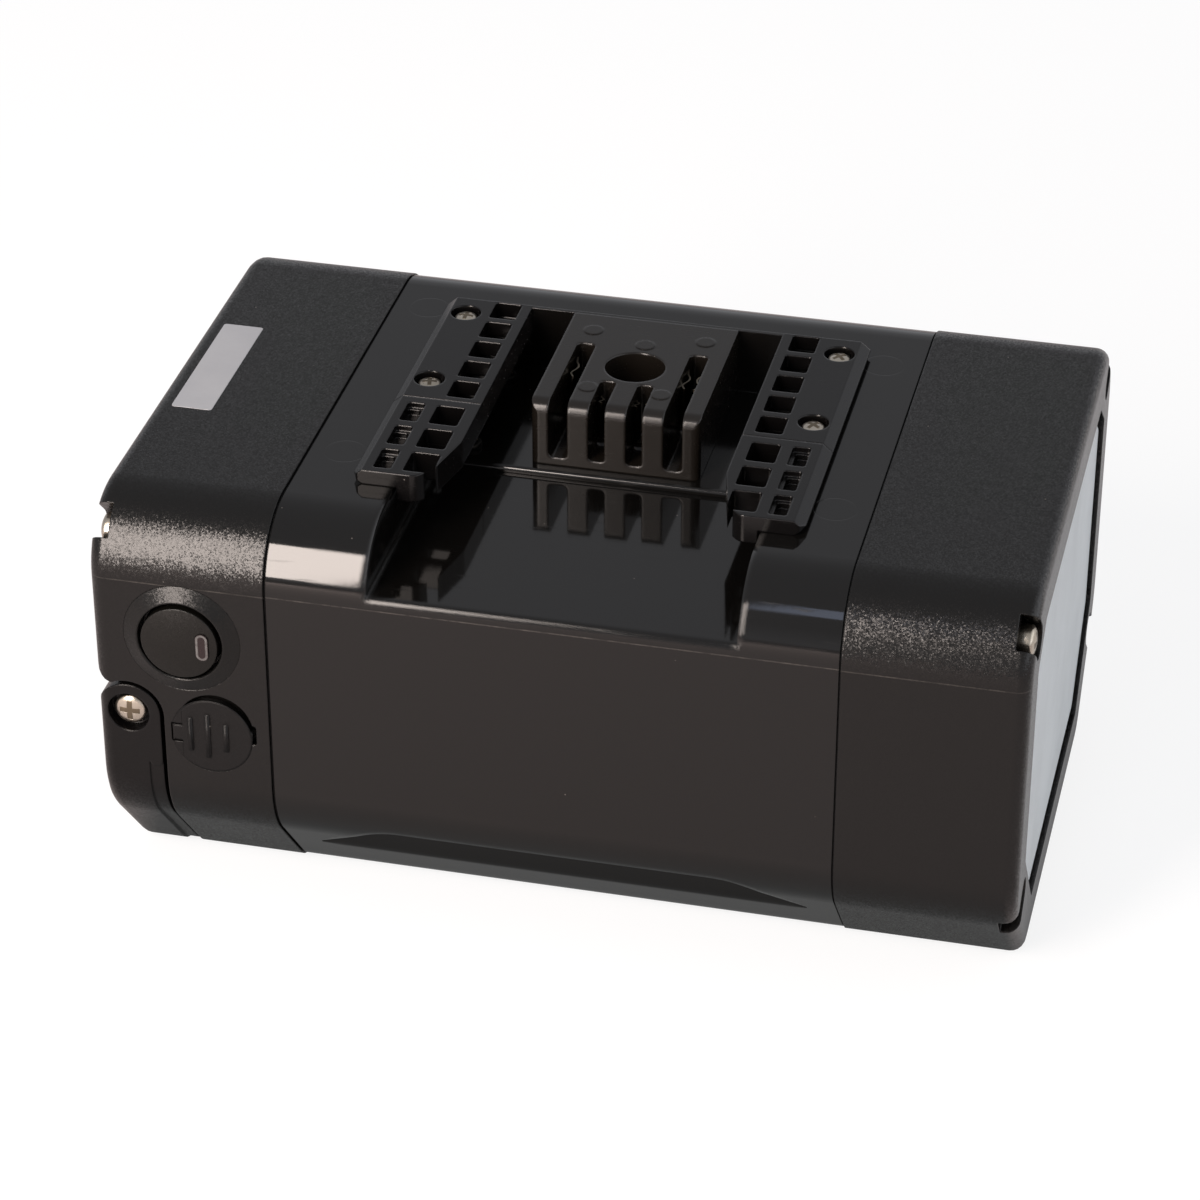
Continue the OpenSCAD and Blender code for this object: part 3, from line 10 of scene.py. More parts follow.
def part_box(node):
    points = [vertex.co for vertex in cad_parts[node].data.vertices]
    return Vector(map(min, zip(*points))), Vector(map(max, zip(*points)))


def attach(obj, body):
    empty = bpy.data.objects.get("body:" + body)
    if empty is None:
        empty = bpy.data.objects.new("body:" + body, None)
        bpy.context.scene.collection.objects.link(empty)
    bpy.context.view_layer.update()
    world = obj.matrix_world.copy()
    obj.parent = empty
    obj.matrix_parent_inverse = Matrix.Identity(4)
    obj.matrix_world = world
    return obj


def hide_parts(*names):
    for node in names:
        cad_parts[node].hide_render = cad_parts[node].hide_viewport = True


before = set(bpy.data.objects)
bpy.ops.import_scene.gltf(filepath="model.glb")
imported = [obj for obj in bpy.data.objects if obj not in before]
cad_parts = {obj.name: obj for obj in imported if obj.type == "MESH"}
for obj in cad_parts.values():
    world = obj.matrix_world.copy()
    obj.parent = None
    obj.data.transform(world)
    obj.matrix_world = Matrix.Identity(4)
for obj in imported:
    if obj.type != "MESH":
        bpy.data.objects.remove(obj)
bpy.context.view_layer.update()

# Camera: a long lens from the front, a little to the right and well above, as a product is
# photographed on a table. The lens is given for a sensor 36 mm wide.
def new_object(name, data):
    """An object in the scene, at the origin."""
    made = bpy.data.objects.new(name, data)
    bpy.context.scene.collection.objects.link(made)
    return made


turn, tilt, roll = radians(13.013), radians(31.988), radians(0.1)
stand = (0.19596, -0.86939, 0.61390)
back = Vector((sin(turn) * cos(tilt), -cos(turn) * cos(tilt), sin(tilt)))
across = Vector((cos(turn), sin(turn), 0))
camera_data = bpy.data.cameras.new("camera")
camera_data.lens = 122.73
camera_data.sensor_width = 36
camera_data.clip_end = 50
camera = new_object("camera", camera_data)
facing = Matrix((across, back.cross(across), back)).transposed().to_4x4()
camera.matrix_world = Matrix.Translation(stand) @ facing @ Matrix.Rotation(roll, 4, "Z")
bpy.context.scene.camera = camera
bpy.context.scene.view_settings.view_transform = "Standard"


# Floor: a wide sheet of white studio paper that the battery lies on. It shows white, and keeps the
# soft shadow under the battery. Near the battery its colour is a painted shadow, a dim blue-grey
# that reflections see and that the battery's foot mirrors. On the right of the battery the paper
# has a painted glow in reflections, so that it mirrors paler in the end panel.
def linear(hex_colour):
    """A colour written as sRGB hex, as the linear values that a shader socket takes."""
    channels = [int(hex_colour[i : i + 2], 16) / 255 for i in (1, 3, 5)]
    return [c / 12.92 if c <= 0.04045 else ((c + 0.055) / 1.055) ** 2.4 for c in channels] + [1]


def add(tree, kind, inputs=(), **settings):
    """Adds a shader node, with its settings, and its inputs as values or links."""
    made = tree.nodes.new("ShaderNode" + kind)
    for name, value in settings.items():
        setattr(made, name, value)
    for name, value in dict(inputs).items():
        if isinstance(value, bpy.types.NodeSocket):
            tree.links.new(value, made.inputs[name])
        else:
            made.inputs[name].default_value = value
    return made


def new_material(name):
    """An empty material, its node tree, and the place of each point on it."""
    material = bpy.data.materials.new(name)
    material.use_nodes = True
    tree = material.node_tree
    tree.nodes.clear()
    return material, tree, add(tree, "TexCoord").outputs["Object"]


def finished(name, bm):
    """The mesh of a shape that is finished."""
    mesh = bpy.data.meshes.new(name)
    bm.to_mesh(mesh)
    bm.free()
    return mesh


# Half of the floor's side, and how bright the paper near the battery looks in its gloss faces,
# where 1 is white
floor_half, dim_share = 12.0, 0.14
bm = bmesh.new()
bmesh.ops.create_grid(bm, x_segments=1, y_segments=1, size=floor_half)
floor_mesh = finished("floor", bm)
floor = new_object("floor", floor_mesh)
paper, tree, place = new_material("white_paper")
seen = add(tree, "LightPath")
straight = add(
    tree,
    "Math",
    {0: seen.outputs["Is Camera Ray"], 1: seen.outputs["Is Transmission Ray"]},
    operation="MAXIMUM",
)
parts = add(tree, "SeparateXYZ", {0: place})
# Painted glow: beside the right end, reflections see more of the paper's glow than elsewhere.
right_x = add(
    tree, "MapRange", {"Value": parts.outputs["X"], "From Min": 0.112, "From Max": 0.122}
)
right_y = add(
    tree,
    "MapRange",
    {"Value": parts.outputs["Y"], "From Min": -0.070, "From Max": -0.045, "To Max": 0.34},
)
painted_glow_share = add(
    tree,
    "Math",
    {0: right_x.outputs["Result"], 1: right_y.outputs["Result"]},
    operation="MULTIPLY",
)
painted_glow_share = add(tree, "Math", {0: painted_glow_share.outputs[0], 1: dim_share}, operation="ADD")
mirrored = add(
    tree, "Math", {0: seen.outputs["Is Glossy Ray"], 1: painted_glow_share.outputs[0]}, operation="MULTIPLY"
)
shown = add(tree, "Math", {0: straight.outputs[0], 1: mirrored.outputs[0]}, operation="MAXIMUM")
# Painted shadow: near the battery the paper's colour darkens to a blue-grey.
away_y = add(tree, "Math", {0: parts.outputs["Y"]}, operation="ABSOLUTE")
away_x = add(tree, "Math", {0: parts.outputs["X"]}, operation="ABSOLUTE")
outside_painted_shadow_y = add(tree, "MapRange", {"Value": away_y.outputs[0], "From Min": 0.070, "From Max": 0.115})
outside_painted_shadow_x = add(tree, "MapRange", {"Value": away_x.outputs[0], "From Min": 0.110, "From Max": 0.124})
clear = add(
    tree, "Math", {0: outside_painted_shadow_y.outputs["Result"], 1: outside_painted_shadow_x.outputs["Result"]}, operation="MAXIMUM"
)
painted_shadow_colour = add(
    tree,
    "Mix",
    {0: clear.outputs[0], 6: linear("#6a7174"), 7: linear("#c9c0bf")},
    data_type="RGBA",
)
paper_with_painted_shadow = add(tree, "BsdfDiffuse", {"Color": painted_shadow_colour.outputs[2]})
half_lit = add(tree, "BsdfDiffuse", {"Color": linear("#808080")})
glow = add(tree, "Emission", {"Color": linear("#ffffff"), "Strength": 0.82})
background = add(tree, "AddShader", {0: half_lit.outputs[0], 1: glow.outputs[0]})
mixed = add(
    tree, "MixShader", {0: shown.outputs[0], 1: paper_with_painted_shadow.outputs[0], 2: background.outputs[0]}
)
add(tree, "OutputMaterial", {"Surface": mixed.outputs[0]})
floor_mesh.materials.append(paper)

# Room: a dim studio, paler low down all round than overhead, so that the gloss parts mirror a
# quiet grey ceiling, and bright on the right, where a white screen lights the end panel.
world = bpy.data.worlds.new("room")
bpy.context.scene.world = world
world.use_nodes = True
tree = world.node_tree
tree.nodes.clear()
heading = add(tree, "TexCoord")
height = add(tree, "SeparateXYZ", {0: heading.outputs["Generated"]})
fade = add(
    tree,
    "MapRange",
    {
        "Value": height.outputs["Z"], "From Min": 0.05, "From Max": 0.42, "To Min": 0.6,
        "To Max": 0.41,
    },
)
screen = add(
    tree,
    "MapRange",
    {"Value": height.outputs["X"], "From Min": 0.55, "From Max": 0.85, "To Max": 1.1},
)
level = add(
    tree, "Math", {0: fade.outputs["Result"], 1: screen.outputs["Result"]}, operation="ADD"
)
sky = add(tree, "Background", {"Color": linear("#f9faff"), "Strength": level.outputs[0]})
tree.links.new(sky.outputs[0], add(tree, "OutputWorld").inputs["Surface"])


# Lamps: a tall soft box in front on the left, which the roundings mirror as a bright patch, and a
# weaker cool one beside the camera.
def soft_box(name, place, aim, wide, high, radiance, colour):
    """A rectangular lamp that shines this many times as bright as white paper."""
    light = bpy.data.lights.new(name, "AREA")
    light.shape, light.size, light.size_y = "RECTANGLE", wide, high
    light.energy, light.color = radiance * pi * wide * high, linear(colour)[:3]
    lamp = new_object(name, light)
    facing = (Vector(place) - Vector(aim)).to_track_quat("Z", "Y")
    lamp.matrix_world = Matrix.Translation(place) @ facing.to_matrix().to_4x4()


soft_box(
    "key_light",
    place=(-0.478, -1.02, 0.62),
    aim=(-0.10, 0, 0.10),
    wide=0.39,
    high=1.00,
    radiance=18.5,
    colour="#fff1e8",
)
soft_box(
    "cool_light",
    place=(-0.10, -1.05, 1.25),
    aim=(0.05, 0, 0.05),
    wide=0.16,
    high=0.30,
    radiance=2.2,
    colour="#d3e0ff",
)


# End caps: two deep caps moulded in a black polycarbonate blend. The mould is etched with a fine
# grain, which breaks the light into sparkles along the rounded edges. A thin witness line runs
# along the front and the back, where the two halves of the mould met.
parting_z = 0.0936


def dust(tree, place, per_metre, amount):
    """How much of a light speck of dust shows at each point: a few small specks."""
    spots = add(tree, "TexVoronoi", {"Vector": place, "Scale": per_metre})
    near = add(
        tree,
        "MapRange",
        {
            "Value": spots.outputs["Distance"], "From Min": 0.02, "From Max": 0.06,
            "To Min": amount, "To Max": 0.0,
        },
    )
    chance = add(tree, "SeparateColor", {0: spots.outputs["Color"]})
    few = add(
        tree, "MapRange", {"Value": chance.outputs["Red"], "From Min": 0.9, "From Max": 0.92}
    )
    return add(
        tree, "Math", {0: near.outputs["Result"], 1: few.outputs["Result"]}, operation="MULTIPLY"
    ).outputs[0]


def witness(tree, place, strength):
    """How much the mould's parting line shows at each point: a broken line about 0.3 mm wide."""
    parts = add(tree, "SeparateXYZ", {0: place})
    away = add(tree, "Math", {0: parts.outputs["Z"], 1: parting_z}, operation="SUBTRACT")
    away = add(tree, "Math", {0: away.outputs[0]}, operation="ABSOLUTE")
    line = add(
        tree,
        "MapRange",
        {
            "Value": away.outputs[0], "From Min": 0.00008, "From Max": 0.00022, "To Min": 1.0,
            "To Max": 0.0,
        },
    )
    broken = add(
        tree, "TexNoise", {"Vector": place, "Scale": 240.0, "Detail": 4.0, "Roughness": 0.7}
    )
    amount = add(
        tree,
        "MapRange",
        {
            "Value": broken.outputs["Fac"], "From Min": 0.4, "From Max": 0.66, "To Min": 0.03,
            "To Max": strength,
        },
    )
    return add(
        tree,
        "Math",
        {0: line.outputs["Result"], 1: amount.outputs["Result"]},
        operation="MULTIPLY",
    ).outputs[0]


def grained_plastic(name, colour, roughness, grain, tilt, edge, specks=0.3, line=0.0, ior=1.43):
    """Moulded plastic with an etched grain: the size of its facets, how far they tilt from the
    surface, and the radius of the edges."""
    material, tree, place = new_material(name)
    facets = add(tree, "TexVoronoi", {"Vector": place, "Scale": 1 / grain})
    either_way = add(
        tree, "VectorMath", {0: facets.outputs["Color"], 1: (0.5, 0.5, 0.5)}, operation="SUBTRACT"
    )
    lean = add(tree, "VectorMath", {0: either_way.outputs[0], "Scale": tilt}, operation="SCALE")
    wear = add(
        tree, "TexNoise", {"Vector": place, "Scale": 45.0, "Detail": 4.0, "Roughness": 0.55}
    )
    gloss = add(
        tree,
        "MapRange",
        {
            "Value": wear.outputs["Fac"], "From Min": 0.3, "From Max": 0.7,
            "To Min": roughness - 0.01, "To Max": roughness + 0.015,
        },
    )
    pale = dust(tree, place, 210.0, specks)
    if line:
        pale = add(
            tree, "Math", {0: pale, 1: witness(tree, place, line)}, operation="MAXIMUM"
        ).outputs[0]
    tone = add(tree, "Mix", {0: pale, 6: linear(colour), 7: linear("#99938c")}, data_type="RGBA")
    rounded = add(tree, "Bevel", {"Radius": edge}, samples=6)
    leaning = add(tree, "VectorMath", {0: rounded.outputs[0], 1: lean.outputs[0]}, operation="ADD")
    true = add(tree, "VectorMath", {0: leaning.outputs[0]}, operation="NORMALIZE")
    bump = add(
        tree,
        "Bump",
        {"Height": wear.outputs["Fac"], "Distance": 0.000006, "Normal": true.outputs[0]},
    )
    shader = add(
        tree,
        "BsdfPrincipled",
        {
            "Base Color": tone.outputs[2], "Roughness": gloss.outputs["Result"], "IOR": ior,
            "Normal": bump.outputs[0],
        },
    )
    add(tree, "OutputMaterial", {"Surface": shader.outputs[0]})
    return material


def dress(material, *names):
    """Gives these CAD nodes one material."""
    for name in names:
        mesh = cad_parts[name].data
        for i in range(len(mesh.materials)):
            mesh.materials[i] = material
        if not mesh.materials:
            mesh.materials.append(material)


# The caps' outer skin in the frame is made of flat facets. Each copy below takes the light as
# the true rounded skin does. The outline of the pack across its length is given in mm: half of
# it, from the base to the top edge, as corners with their roundings and the directions in which
# each rounding starts and ends.
corners = [
    ((50.552, 0), 12.0, -90, -41),
    ((75.5, 28.7), 24.0, -41, 0),
    ((75.5, 112.5), 19.4, 0, 90),
]
# The radius of the rounding round each end, and where the ends are
rim, end_x = 3.6, 115.0
# Points of the frame's loose triangles that are nearer than this are one, in metres. A facet that
# leans further than this cosine from the true skin is no part of it.
merge_gap, same_skin = 2e-6, 0.955


def rounding_centres():
    """Where the roundings of the outline turn."""
    found = []
    for (y, z), r, first, last in corners:
        half = radians((last - first) / 2)
        middle = radians((first + last) / 2)
        found.append((y - r * cos(middle) / cos(half), z - r * sin(middle) / cos(half)))
    return found


centres = rounding_centres()


def true_facing(point):
    """The direction that the outside of the caps faces at a point, in metres, of their skin."""
    x, y, z = point[0] * 1000, abs(point[1]) * 1000, point[2] * 1000
    turned = 90.0
    for (cy, cz), (_, _, first, last) in zip(centres, corners):
        here = degrees(atan2(z - cz, y - cy))
        if here <= first:
            turned = first
            break
        if here < last:
            turned = here
            break
    side = 1 if point[1] >= 0 else -1
    flat = Vector((0, side * cos(radians(turned)), sin(radians(turned))))
    past = min(max((abs(x) - (end_x - rim)) / rim, 0), 1)
    return (flat * sqrt(1 - past * past) + Vector((past if x > 0 else -past, 0, 0))).normalized()


def true_copy(name, node, body, material):
    """A cap's or the handle's copy, welded, that takes the light as the true rounded skin does."""
    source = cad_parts[node].data
    facing = [Vector(n.vector) for n in source.corner_normals]
    bm = bmesh.new()
    bm.from_mesh(source)
    kept = bm.loops.layers.float_vector.new("facing")
    at = 0
    for face in bm.faces:
        face.smooth = True
        face.material_index = 0
        for loop in face.loops:
            true = true_facing(loop.vert.co)
            loop[kept] = true if face.normal.dot(true) > same_skin else facing[at]
            at += 1
    bmesh.ops.remove_doubles(bm, verts=bm.verts, dist=merge_gap)
    mesh = finished(name, bm)
    mesh.normals_split_custom_set([tuple(d.vector) for d in mesh.attributes["facing"].data])
    mesh.attributes.remove(mesh.attributes["facing"])
    mesh.materials.append(material)
    piece = new_object(name, mesh)
    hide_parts(node)
    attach(piece, body)


cap_black = grained_plastic(
    "grained_black_plastic",
    "#0b0a09",
    roughness=0.25,
    grain=0.00031,
    tilt=0.19,
    edge=0.0005,
    line=0.14,
)
true_copy("left_cap_moulding", "left_end_cap", "pack", cap_black)
true_copy("right_cap_moulding", "right_end_cap", "pack", cap_black)


# Centre shell: a gloss black moulding. It stays smooth enough to mirror the table, with a faint
# waviness, fine wiping scratches and dust. Four round ejector marks show beside the rails, and
# the mould's parting line runs on from the caps.
# Radius of an ejector mark. Beyond a seam the edges sharpen to this radius, over this length.
mark_r, sharp_edge, edge_run = 0.0052, 0.0004, 0.004


def gloss_plastic(
    name, colour, roughness, edge, wave=0.00003, specks=0.3, line=0.0, marks=(), seam=0.0, ior=1.5
):
    """Gloss moulded plastic with a slight orange peel, hairline scratches and dust. Its edges
    are sharper beyond the seam's distance from the middle."""
    material, tree, place = new_material(name)
    broad = add(
        tree, "TexNoise", {"Vector": place, "Scale": 55.0, "Detail": 2.0, "Roughness": 0.4}
    )
    peel = add(
        tree, "TexNoise", {"Vector": place, "Scale": 900.0, "Detail": 2.0, "Roughness": 0.5}
    )
    slight = add(tree, "Math", {0: peel.outputs["Fac"], 1: 0.08}, operation="MULTIPLY")
    height = add(
        tree, "Math", {0: broad.outputs["Fac"], 1: slight.outputs[0]}, operation="ADD"
    ).outputs[0]
    drawn = add(
        tree, "Mapping", {"Vector": place, "Rotation": (0, 0, 0.5), "Scale": (60.0, 900.0, 900.0)}
    )
    hair = add(
        tree,
        "TexNoise",
        {"Vector": drawn.outputs[0], "Scale": 1.0, "Detail": 2.0, "Roughness": 0.7},
    )
    scratch = add(
        tree,
        "MapRange",
        {"Value": hair.outputs["Fac"], "From Min": 0.62, "From Max": 0.72, "To Max": 0.12},
    )
    gloss = add(tree, "Math", {0: scratch.outputs["Result"], 1: roughness}, operation="ADD")
    pale = dust(tree, place, 260.0, specks)
    if line:
        pale = add(
            tree, "Math", {0: pale, 1: witness(tree, place, line)}, operation="MAXIMUM"
        ).outputs[0]
    tone = add(tree, "Mix", {0: pale, 6: linear(colour), 7: linear("#a29b94")}, data_type="RGBA")
    for x, y in marks:
        ring = add(tree, "Mapping", {"Vector": place, "Location": (-x, -y, 0), "Scale": (1, 1, 0)})
        far = add(tree, "VectorMath", {0: ring.outputs[0]}, operation="LENGTH")
        off = add(tree, "Math", {0: far.outputs["Value"], 1: mark_r}, operation="SUBTRACT")
        off = add(tree, "Math", {0: off.outputs[0]}, operation="ABSOLUTE")
        groove = add(
            tree,
            "MapRange",
            {
                "Value": off.outputs[0], "From Min": 0.00006, "From Max": 0.00022, "To Min": -0.8,
                "To Max": 0.0,
            },
        )
        height = add(
            tree, "Math", {0: height, 1: groove.outputs["Result"]}, operation="ADD"
        ).outputs[0]
    rounded = add(tree, "Bevel", {"Radius": edge}, samples=8)
    if seam:
        parts = add(tree, "SeparateXYZ", {0: place})
        out_by = add(tree, "Math", {0: parts.outputs["X"]}, operation="ABSOLUTE")
        sharper = add(
            tree,
            "MapRange",
            {
                "Value": out_by.outputs[0], "From Min": seam, "From Max": seam + edge_run,
                "To Min": edge, "To Max": sharp_edge,
            },
        )
        tree.links.new(sharper.outputs["Result"], rounded.inputs["Radius"])
    bump = add(
        tree, "Bump", {"Height": height, "Distance": wave, "Normal": rounded.outputs[0]}
    )
    shader = add(
        tree,
        "BsdfPrincipled",
        {
            "Base Color": tone.outputs[2], "Roughness": gloss.outputs[0], "IOR": ior,
            "Normal": bump.outputs[0],
        },
    )
    add(tree, "OutputMaterial", {"Surface": shader.outputs[0]})
    return material


ejector_marks = ((-0.0610, 0.0440), (-0.0615, -0.0335), (0.0608, -0.0335), (0.0600, 0.0400))
shell_black = gloss_plastic(
    "gloss_black_plastic",
    "#0b0a09",
    roughness=0.07,
    edge=0.0024,
    line=0.16,
    marks=ejector_marks,
    seam=0.058,
)
dress(shell_black, "centre_shell")

# Gaskets: two soft rubber rings pressed into the seams between the shell and its caps. Only
# their dull outer edge shows, at the bottom of the seam.
gasket_black, tree, place = new_material("seal_rubber")
bloom = add(tree, "TexNoise", {"Vector": place, "Scale": 300.0, "Detail": 3.0})
dull = add(tree, "MapRange", {"Value": bloom.outputs["Fac"], "To Min": 0.7, "To Max": 0.9})
bump = add(tree, "Bump", {"Height": bloom.outputs["Fac"], "Distance": 0.00003})
shader = add(
    tree,
    "BsdfPrincipled",
    {
        "Base Color": linear("#0d0d0d"), "Roughness": dull.outputs["Result"],
        "Normal": bump.outputs[0],
    },
)
add(tree, "OutputMaterial", {"Surface": shader.outputs[0]})
dress(gasket_black, "left_gasket", "right_gasket")


# End panel: a pale silver sheet, satin lacquered over aluminium, bonded in the recess of the
# right cap. Handling has left it faintly cloudy.
def fine_metal(
    name, colour, worn_colour, roughness, metallic, pattern, stretch=(1, 1, 1), edge=0.0002
):
    """A metal or a metal lacquer: the scale of its pattern per metre, and how it is drawn out."""
    material, tree, place = new_material(name)
    drawn = add(tree, "Mapping", {"Vector": place, "Scale": stretch})
    grain = add(tree, "TexNoise", {"Vector": drawn.outputs[0], "Scale": pattern, "Detail": 4.0})
    cloud = add(
        tree, "TexNoise", {"Vector": place, "Scale": 34.0, "Detail": 4.0, "Roughness": 0.6}
    )
    worn = add(
        tree, "MapRange", {"Value": cloud.outputs["Fac"], "From Min": 0.36, "From Max": 0.66}
    )
    tone = add(
        tree,
        "Mix",
        {0: worn.outputs["Result"], 6: linear(colour), 7: linear(worn_colour)},
        data_type="RGBA",
    )
    gloss = add(
        tree,
        "MapRange",
        {
            "Value": grain.outputs["Fac"], "From Min": 0.3, "From Max": 0.7,
            "To Min": roughness - 0.05, "To Max": roughness + 0.06,
        },
    )
    rounded = add(tree, "Bevel", {"Radius": edge}, samples=6)
    bump = add(
        tree,
        "Bump",
        {"Height": grain.outputs["Fac"], "Distance": 0.000012, "Normal": rounded.outputs[0]},
    )
    shader = add(
        tree,
        "BsdfPrincipled",
        {
            "Base Color": tone.outputs[2], "Metallic": metallic,
            "Roughness": gloss.outputs["Result"], "Normal": bump.outputs[0],
        },
    )
    add(tree, "OutputMaterial", {"Surface": shader.outputs[0]})
    return material


panel_silver = fine_metal(
    "silver_lacquer",
    "#d0d9dc",
    "#c3cccf",
    roughness=0.34,
    metallic=0.15,
    pattern=4200.0,
    edge=0.0003,
)
dress(panel_silver, "right_end_panel")

# Rating label: a bare strip of silver polyester film, cut from a roll and stuck on the top of
# the left cap. Its satin face is an even grey.
label_silver = fine_metal(
    "silver_film", "#b9babd", "#b0b1b5", roughness=0.42, metallic=0.3, pattern=700.0, edge=0.0001
)
dress(label_silver, "rating_label")

# Mounting plate: a floor moulded in nylon and screwed into the seat, under the rails and the
# block. Its polished mould left it smooth enough to mirror them.
plate_black = gloss_plastic("plate_nylon", "#0d0c0b", roughness=0.1, edge=0.0003)
dress(plate_black, "mounting_plate")

# Terminal block: moulded in glass-filled nylon, and fixed on the plate between the rails. It has
# a satin skin, and its front edges are well rounded, so they catch the light.
block_black = gloss_plastic(
    "block_nylon", "#15120f", roughness=0.22, edge=0.0009, wave=0.00004, specks=0.5, ior=1.48
)
dress(block_black, "terminal_block")

# Rails: two satin nylon strips with a ladder of windows, and their two front ends. Their edges
# are rounded where the battery slides on its mount.
rail_black = gloss_plastic(
    "rail_nylon", "#0a0909", roughness=0.18, edge=0.0006, wave=0.00003, specks=0.5, ior=1.4
)
dress(rail_black, "left_rail", "right_rail", "left_rail_nose", "right_rail_nose")

# Rail webs: each rail's inner windows are blind. A thin web, moulded with the rail in the same
# nylon, closes them from below.
web_low, web_w, web_t, web_inset = 0.1092, 0.0085, 0.0008, 0.0007
# How far a web runs on under the rail's front end, and the slight waves of a thin moulding
web_run_on, wave_h, wave_rate = 0.019, 0.00008, 900
for side in ("left", "right"):
    low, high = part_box(side + "_rail")
    inner = high.x if side == "left" else low.x
    toward = -1 if side == "left" else 1
    bm = bmesh.new()
    bmesh.ops.create_grid(bm, x_segments=4, y_segments=40, size=0.5)
    bmesh.ops.scale(bm, verts=bm.verts, vec=(web_w, high.y - low.y + web_run_on, 1))
    middle_y = (high.y + low.y - web_run_on) / 2 - web_inset
    bmesh.ops.translate(
        bm, verts=bm.verts, vec=(inner + toward * (web_w / 2 + web_inset), middle_y, web_low)
    )
    for vert in bm.verts:
        vert.co.z += wave_h * sin(vert.co.y * wave_rate)
    bmesh.ops.solidify(bm, geom=bm.faces, thickness=web_t)
    bmesh.ops.recalc_face_normals(bm, faces=bm.faces)
    web_mesh = finished(side + "_rail_web", bm)
    web_mesh.materials.append(rail_black)
    web = new_object(side + "_rail_web", web_mesh)
    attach(web, "pack")


# Screws: nickel-plated steel pan heads with a cross recess, driven into brass-lined posts. Each
# is turned and rolled, so its head is a low dome and its shank carries a thread.
screw_nickel = fine_metal(
    "nickel_plated_steel",
    "#ddd5c8",
    "#aea596",
    roughness=0.3,
    metallic=1.0,
    pattern=900.0,
    edge=0.00015,
)
# The cross recess takes this darker steel: painted shade in the recess.
shaded_recess_steel = fine_metal(
    "steel_recess_painted_shade", "#8a7e6b", "#5e5547", roughness=0.38, metallic=1.0, pattern=900.0
)
black_zinc = fine_metal(
    "black_zinc_steel", "#1c1b1a", "#262422", roughness=0.42, metallic=1.0, pattern=900.0
)
large_head_h, large_shank_r = 0.0028, 0.002
small_head_h, small_shank_r, fuse_shank_r = 0.0018, 0.0015, 0.0012
thread_pitch = 0.0012
# The dome's profile, as angles, and where its top begins, as a share of the head's height
dome_angles, top_share = (0, 0.35, 0.7, 1.0, 1.3, pi / 2), 0.66
# The cross recess: the reach and the half width of its arms, and how much wider than its plain
# solid a head is turned, as shares of the head's radius
arm_share, bar_share, head_share = 0.64, 0.17, 1.04


def loose_parts(node):
    """The lowest and highest corners of each separate solid of a node."""
    bm = bmesh.new()
    bm.from_mesh(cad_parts[node].data)
    bmesh.ops.remove_doubles(bm, verts=bm.verts, dist=merge_gap)
    left, boxes = set(bm.verts), []
    while left:
        found, edge = set(), [left.pop()]
        while edge:
            vert = edge.pop()
            found.add(vert)
            for link in vert.link_edges:
                other = link.other_vert(vert)
                if other in left:
                    left.discard(other)
                    edge.append(other)
        low = Vector([min(v.co[i] for v in found) for i in range(3)])
        high = Vector([max(v.co[i] for v in found) for i in range(3)])
        boxes.append((low, high))
    bm.free()
    return sorted(boxes, key=lambda box: tuple(round(c, 5) for c in box[0]))


def turned_screw(head_r, head_h, shank_r, length):
    """One pan head screw along Z, its head resting at Z 0 and its tip down at -length."""
    bm = bmesh.new()
    outline = [(head_r * sin(a), head_h * (0.62 + 0.38 * cos(a))) for a in dome_angles]
    outline += [(head_r, head_h * 0.25), (head_r * 0.93, 0), (shank_r, 0)]
    ridges = max(4, int(length / thread_pitch))
    step = (length - shank_r) / ridges
    for i in range(ridges):
        outline += [(shank_r * 0.8, -step * (i + 0.35)), (shank_r, -step * (i + 0.75))]
    outline += [(shank_r * 0.5, -length + shank_r * 0.4), (0, -length)]
    verts = [bm.verts.new((r, 0, z)) for r, z in outline]
    edges = [bm.edges.new(pair) for pair in zip(verts, verts[1:])]
    bmesh.ops.spin(
        bm, geom=verts + edges, cent=(0, 0, 0), axis=(0, 0, 1), angle=tau, steps=28, use_merge=True
    )
    bmesh.ops.remove_doubles(bm, verts=bm.verts, dist=1e-6)
    bmesh.ops.recalc_face_normals(bm, faces=bm.faces)
    arm, half = head_r * arm_share, head_r * bar_share
    for offset in (-arm, -half, half, arm):
        for across in ((1, 0, 0), (0, 1, 0)):
            top = [f for f in bm.faces if f.calc_center_median().z > head_h * top_share]
            parts = {e for f in top for e in f.edges} | {v for f in top for v in f.verts}
            geom, co = list(parts) + top, Vector(across) * offset
            bmesh.ops.bisect_plane(bm, geom=geom, dist=1e-7, plane_co=co, plane_no=across)
    cross = []
    for face in bm.faces:
        x, y, z = (abs(c) for c in face.calc_center_median())
        on_top = face.calc_center_median().z > head_h * top_share
        if on_top and max(x, y) < arm and min(x, y) < half:
            cross.append(face)
    # The cross recess takes the second, darker material: painted shade.
    for face in cross:
        face.material_index = 1
    sunk = bmesh.ops.extrude_face_region(bm, geom=cross)
    floor_verts = [v for v in sunk["geom"] if isinstance(v, bmesh.types.BMVert)]
    for vert in floor_verts:
        far = vert.co.xy.length / arm
        vert.co.x, vert.co.y = vert.co.x * 0.8, vert.co.y * 0.8
        vert.co.z = head_h * (0.25 + 0.3 * far)
    for face in bm.faces:
        face.smooth = face.calc_center_median().z > 0
        if any(v in floor_verts for v in face.verts):
            face.material_index = 1
    return bm


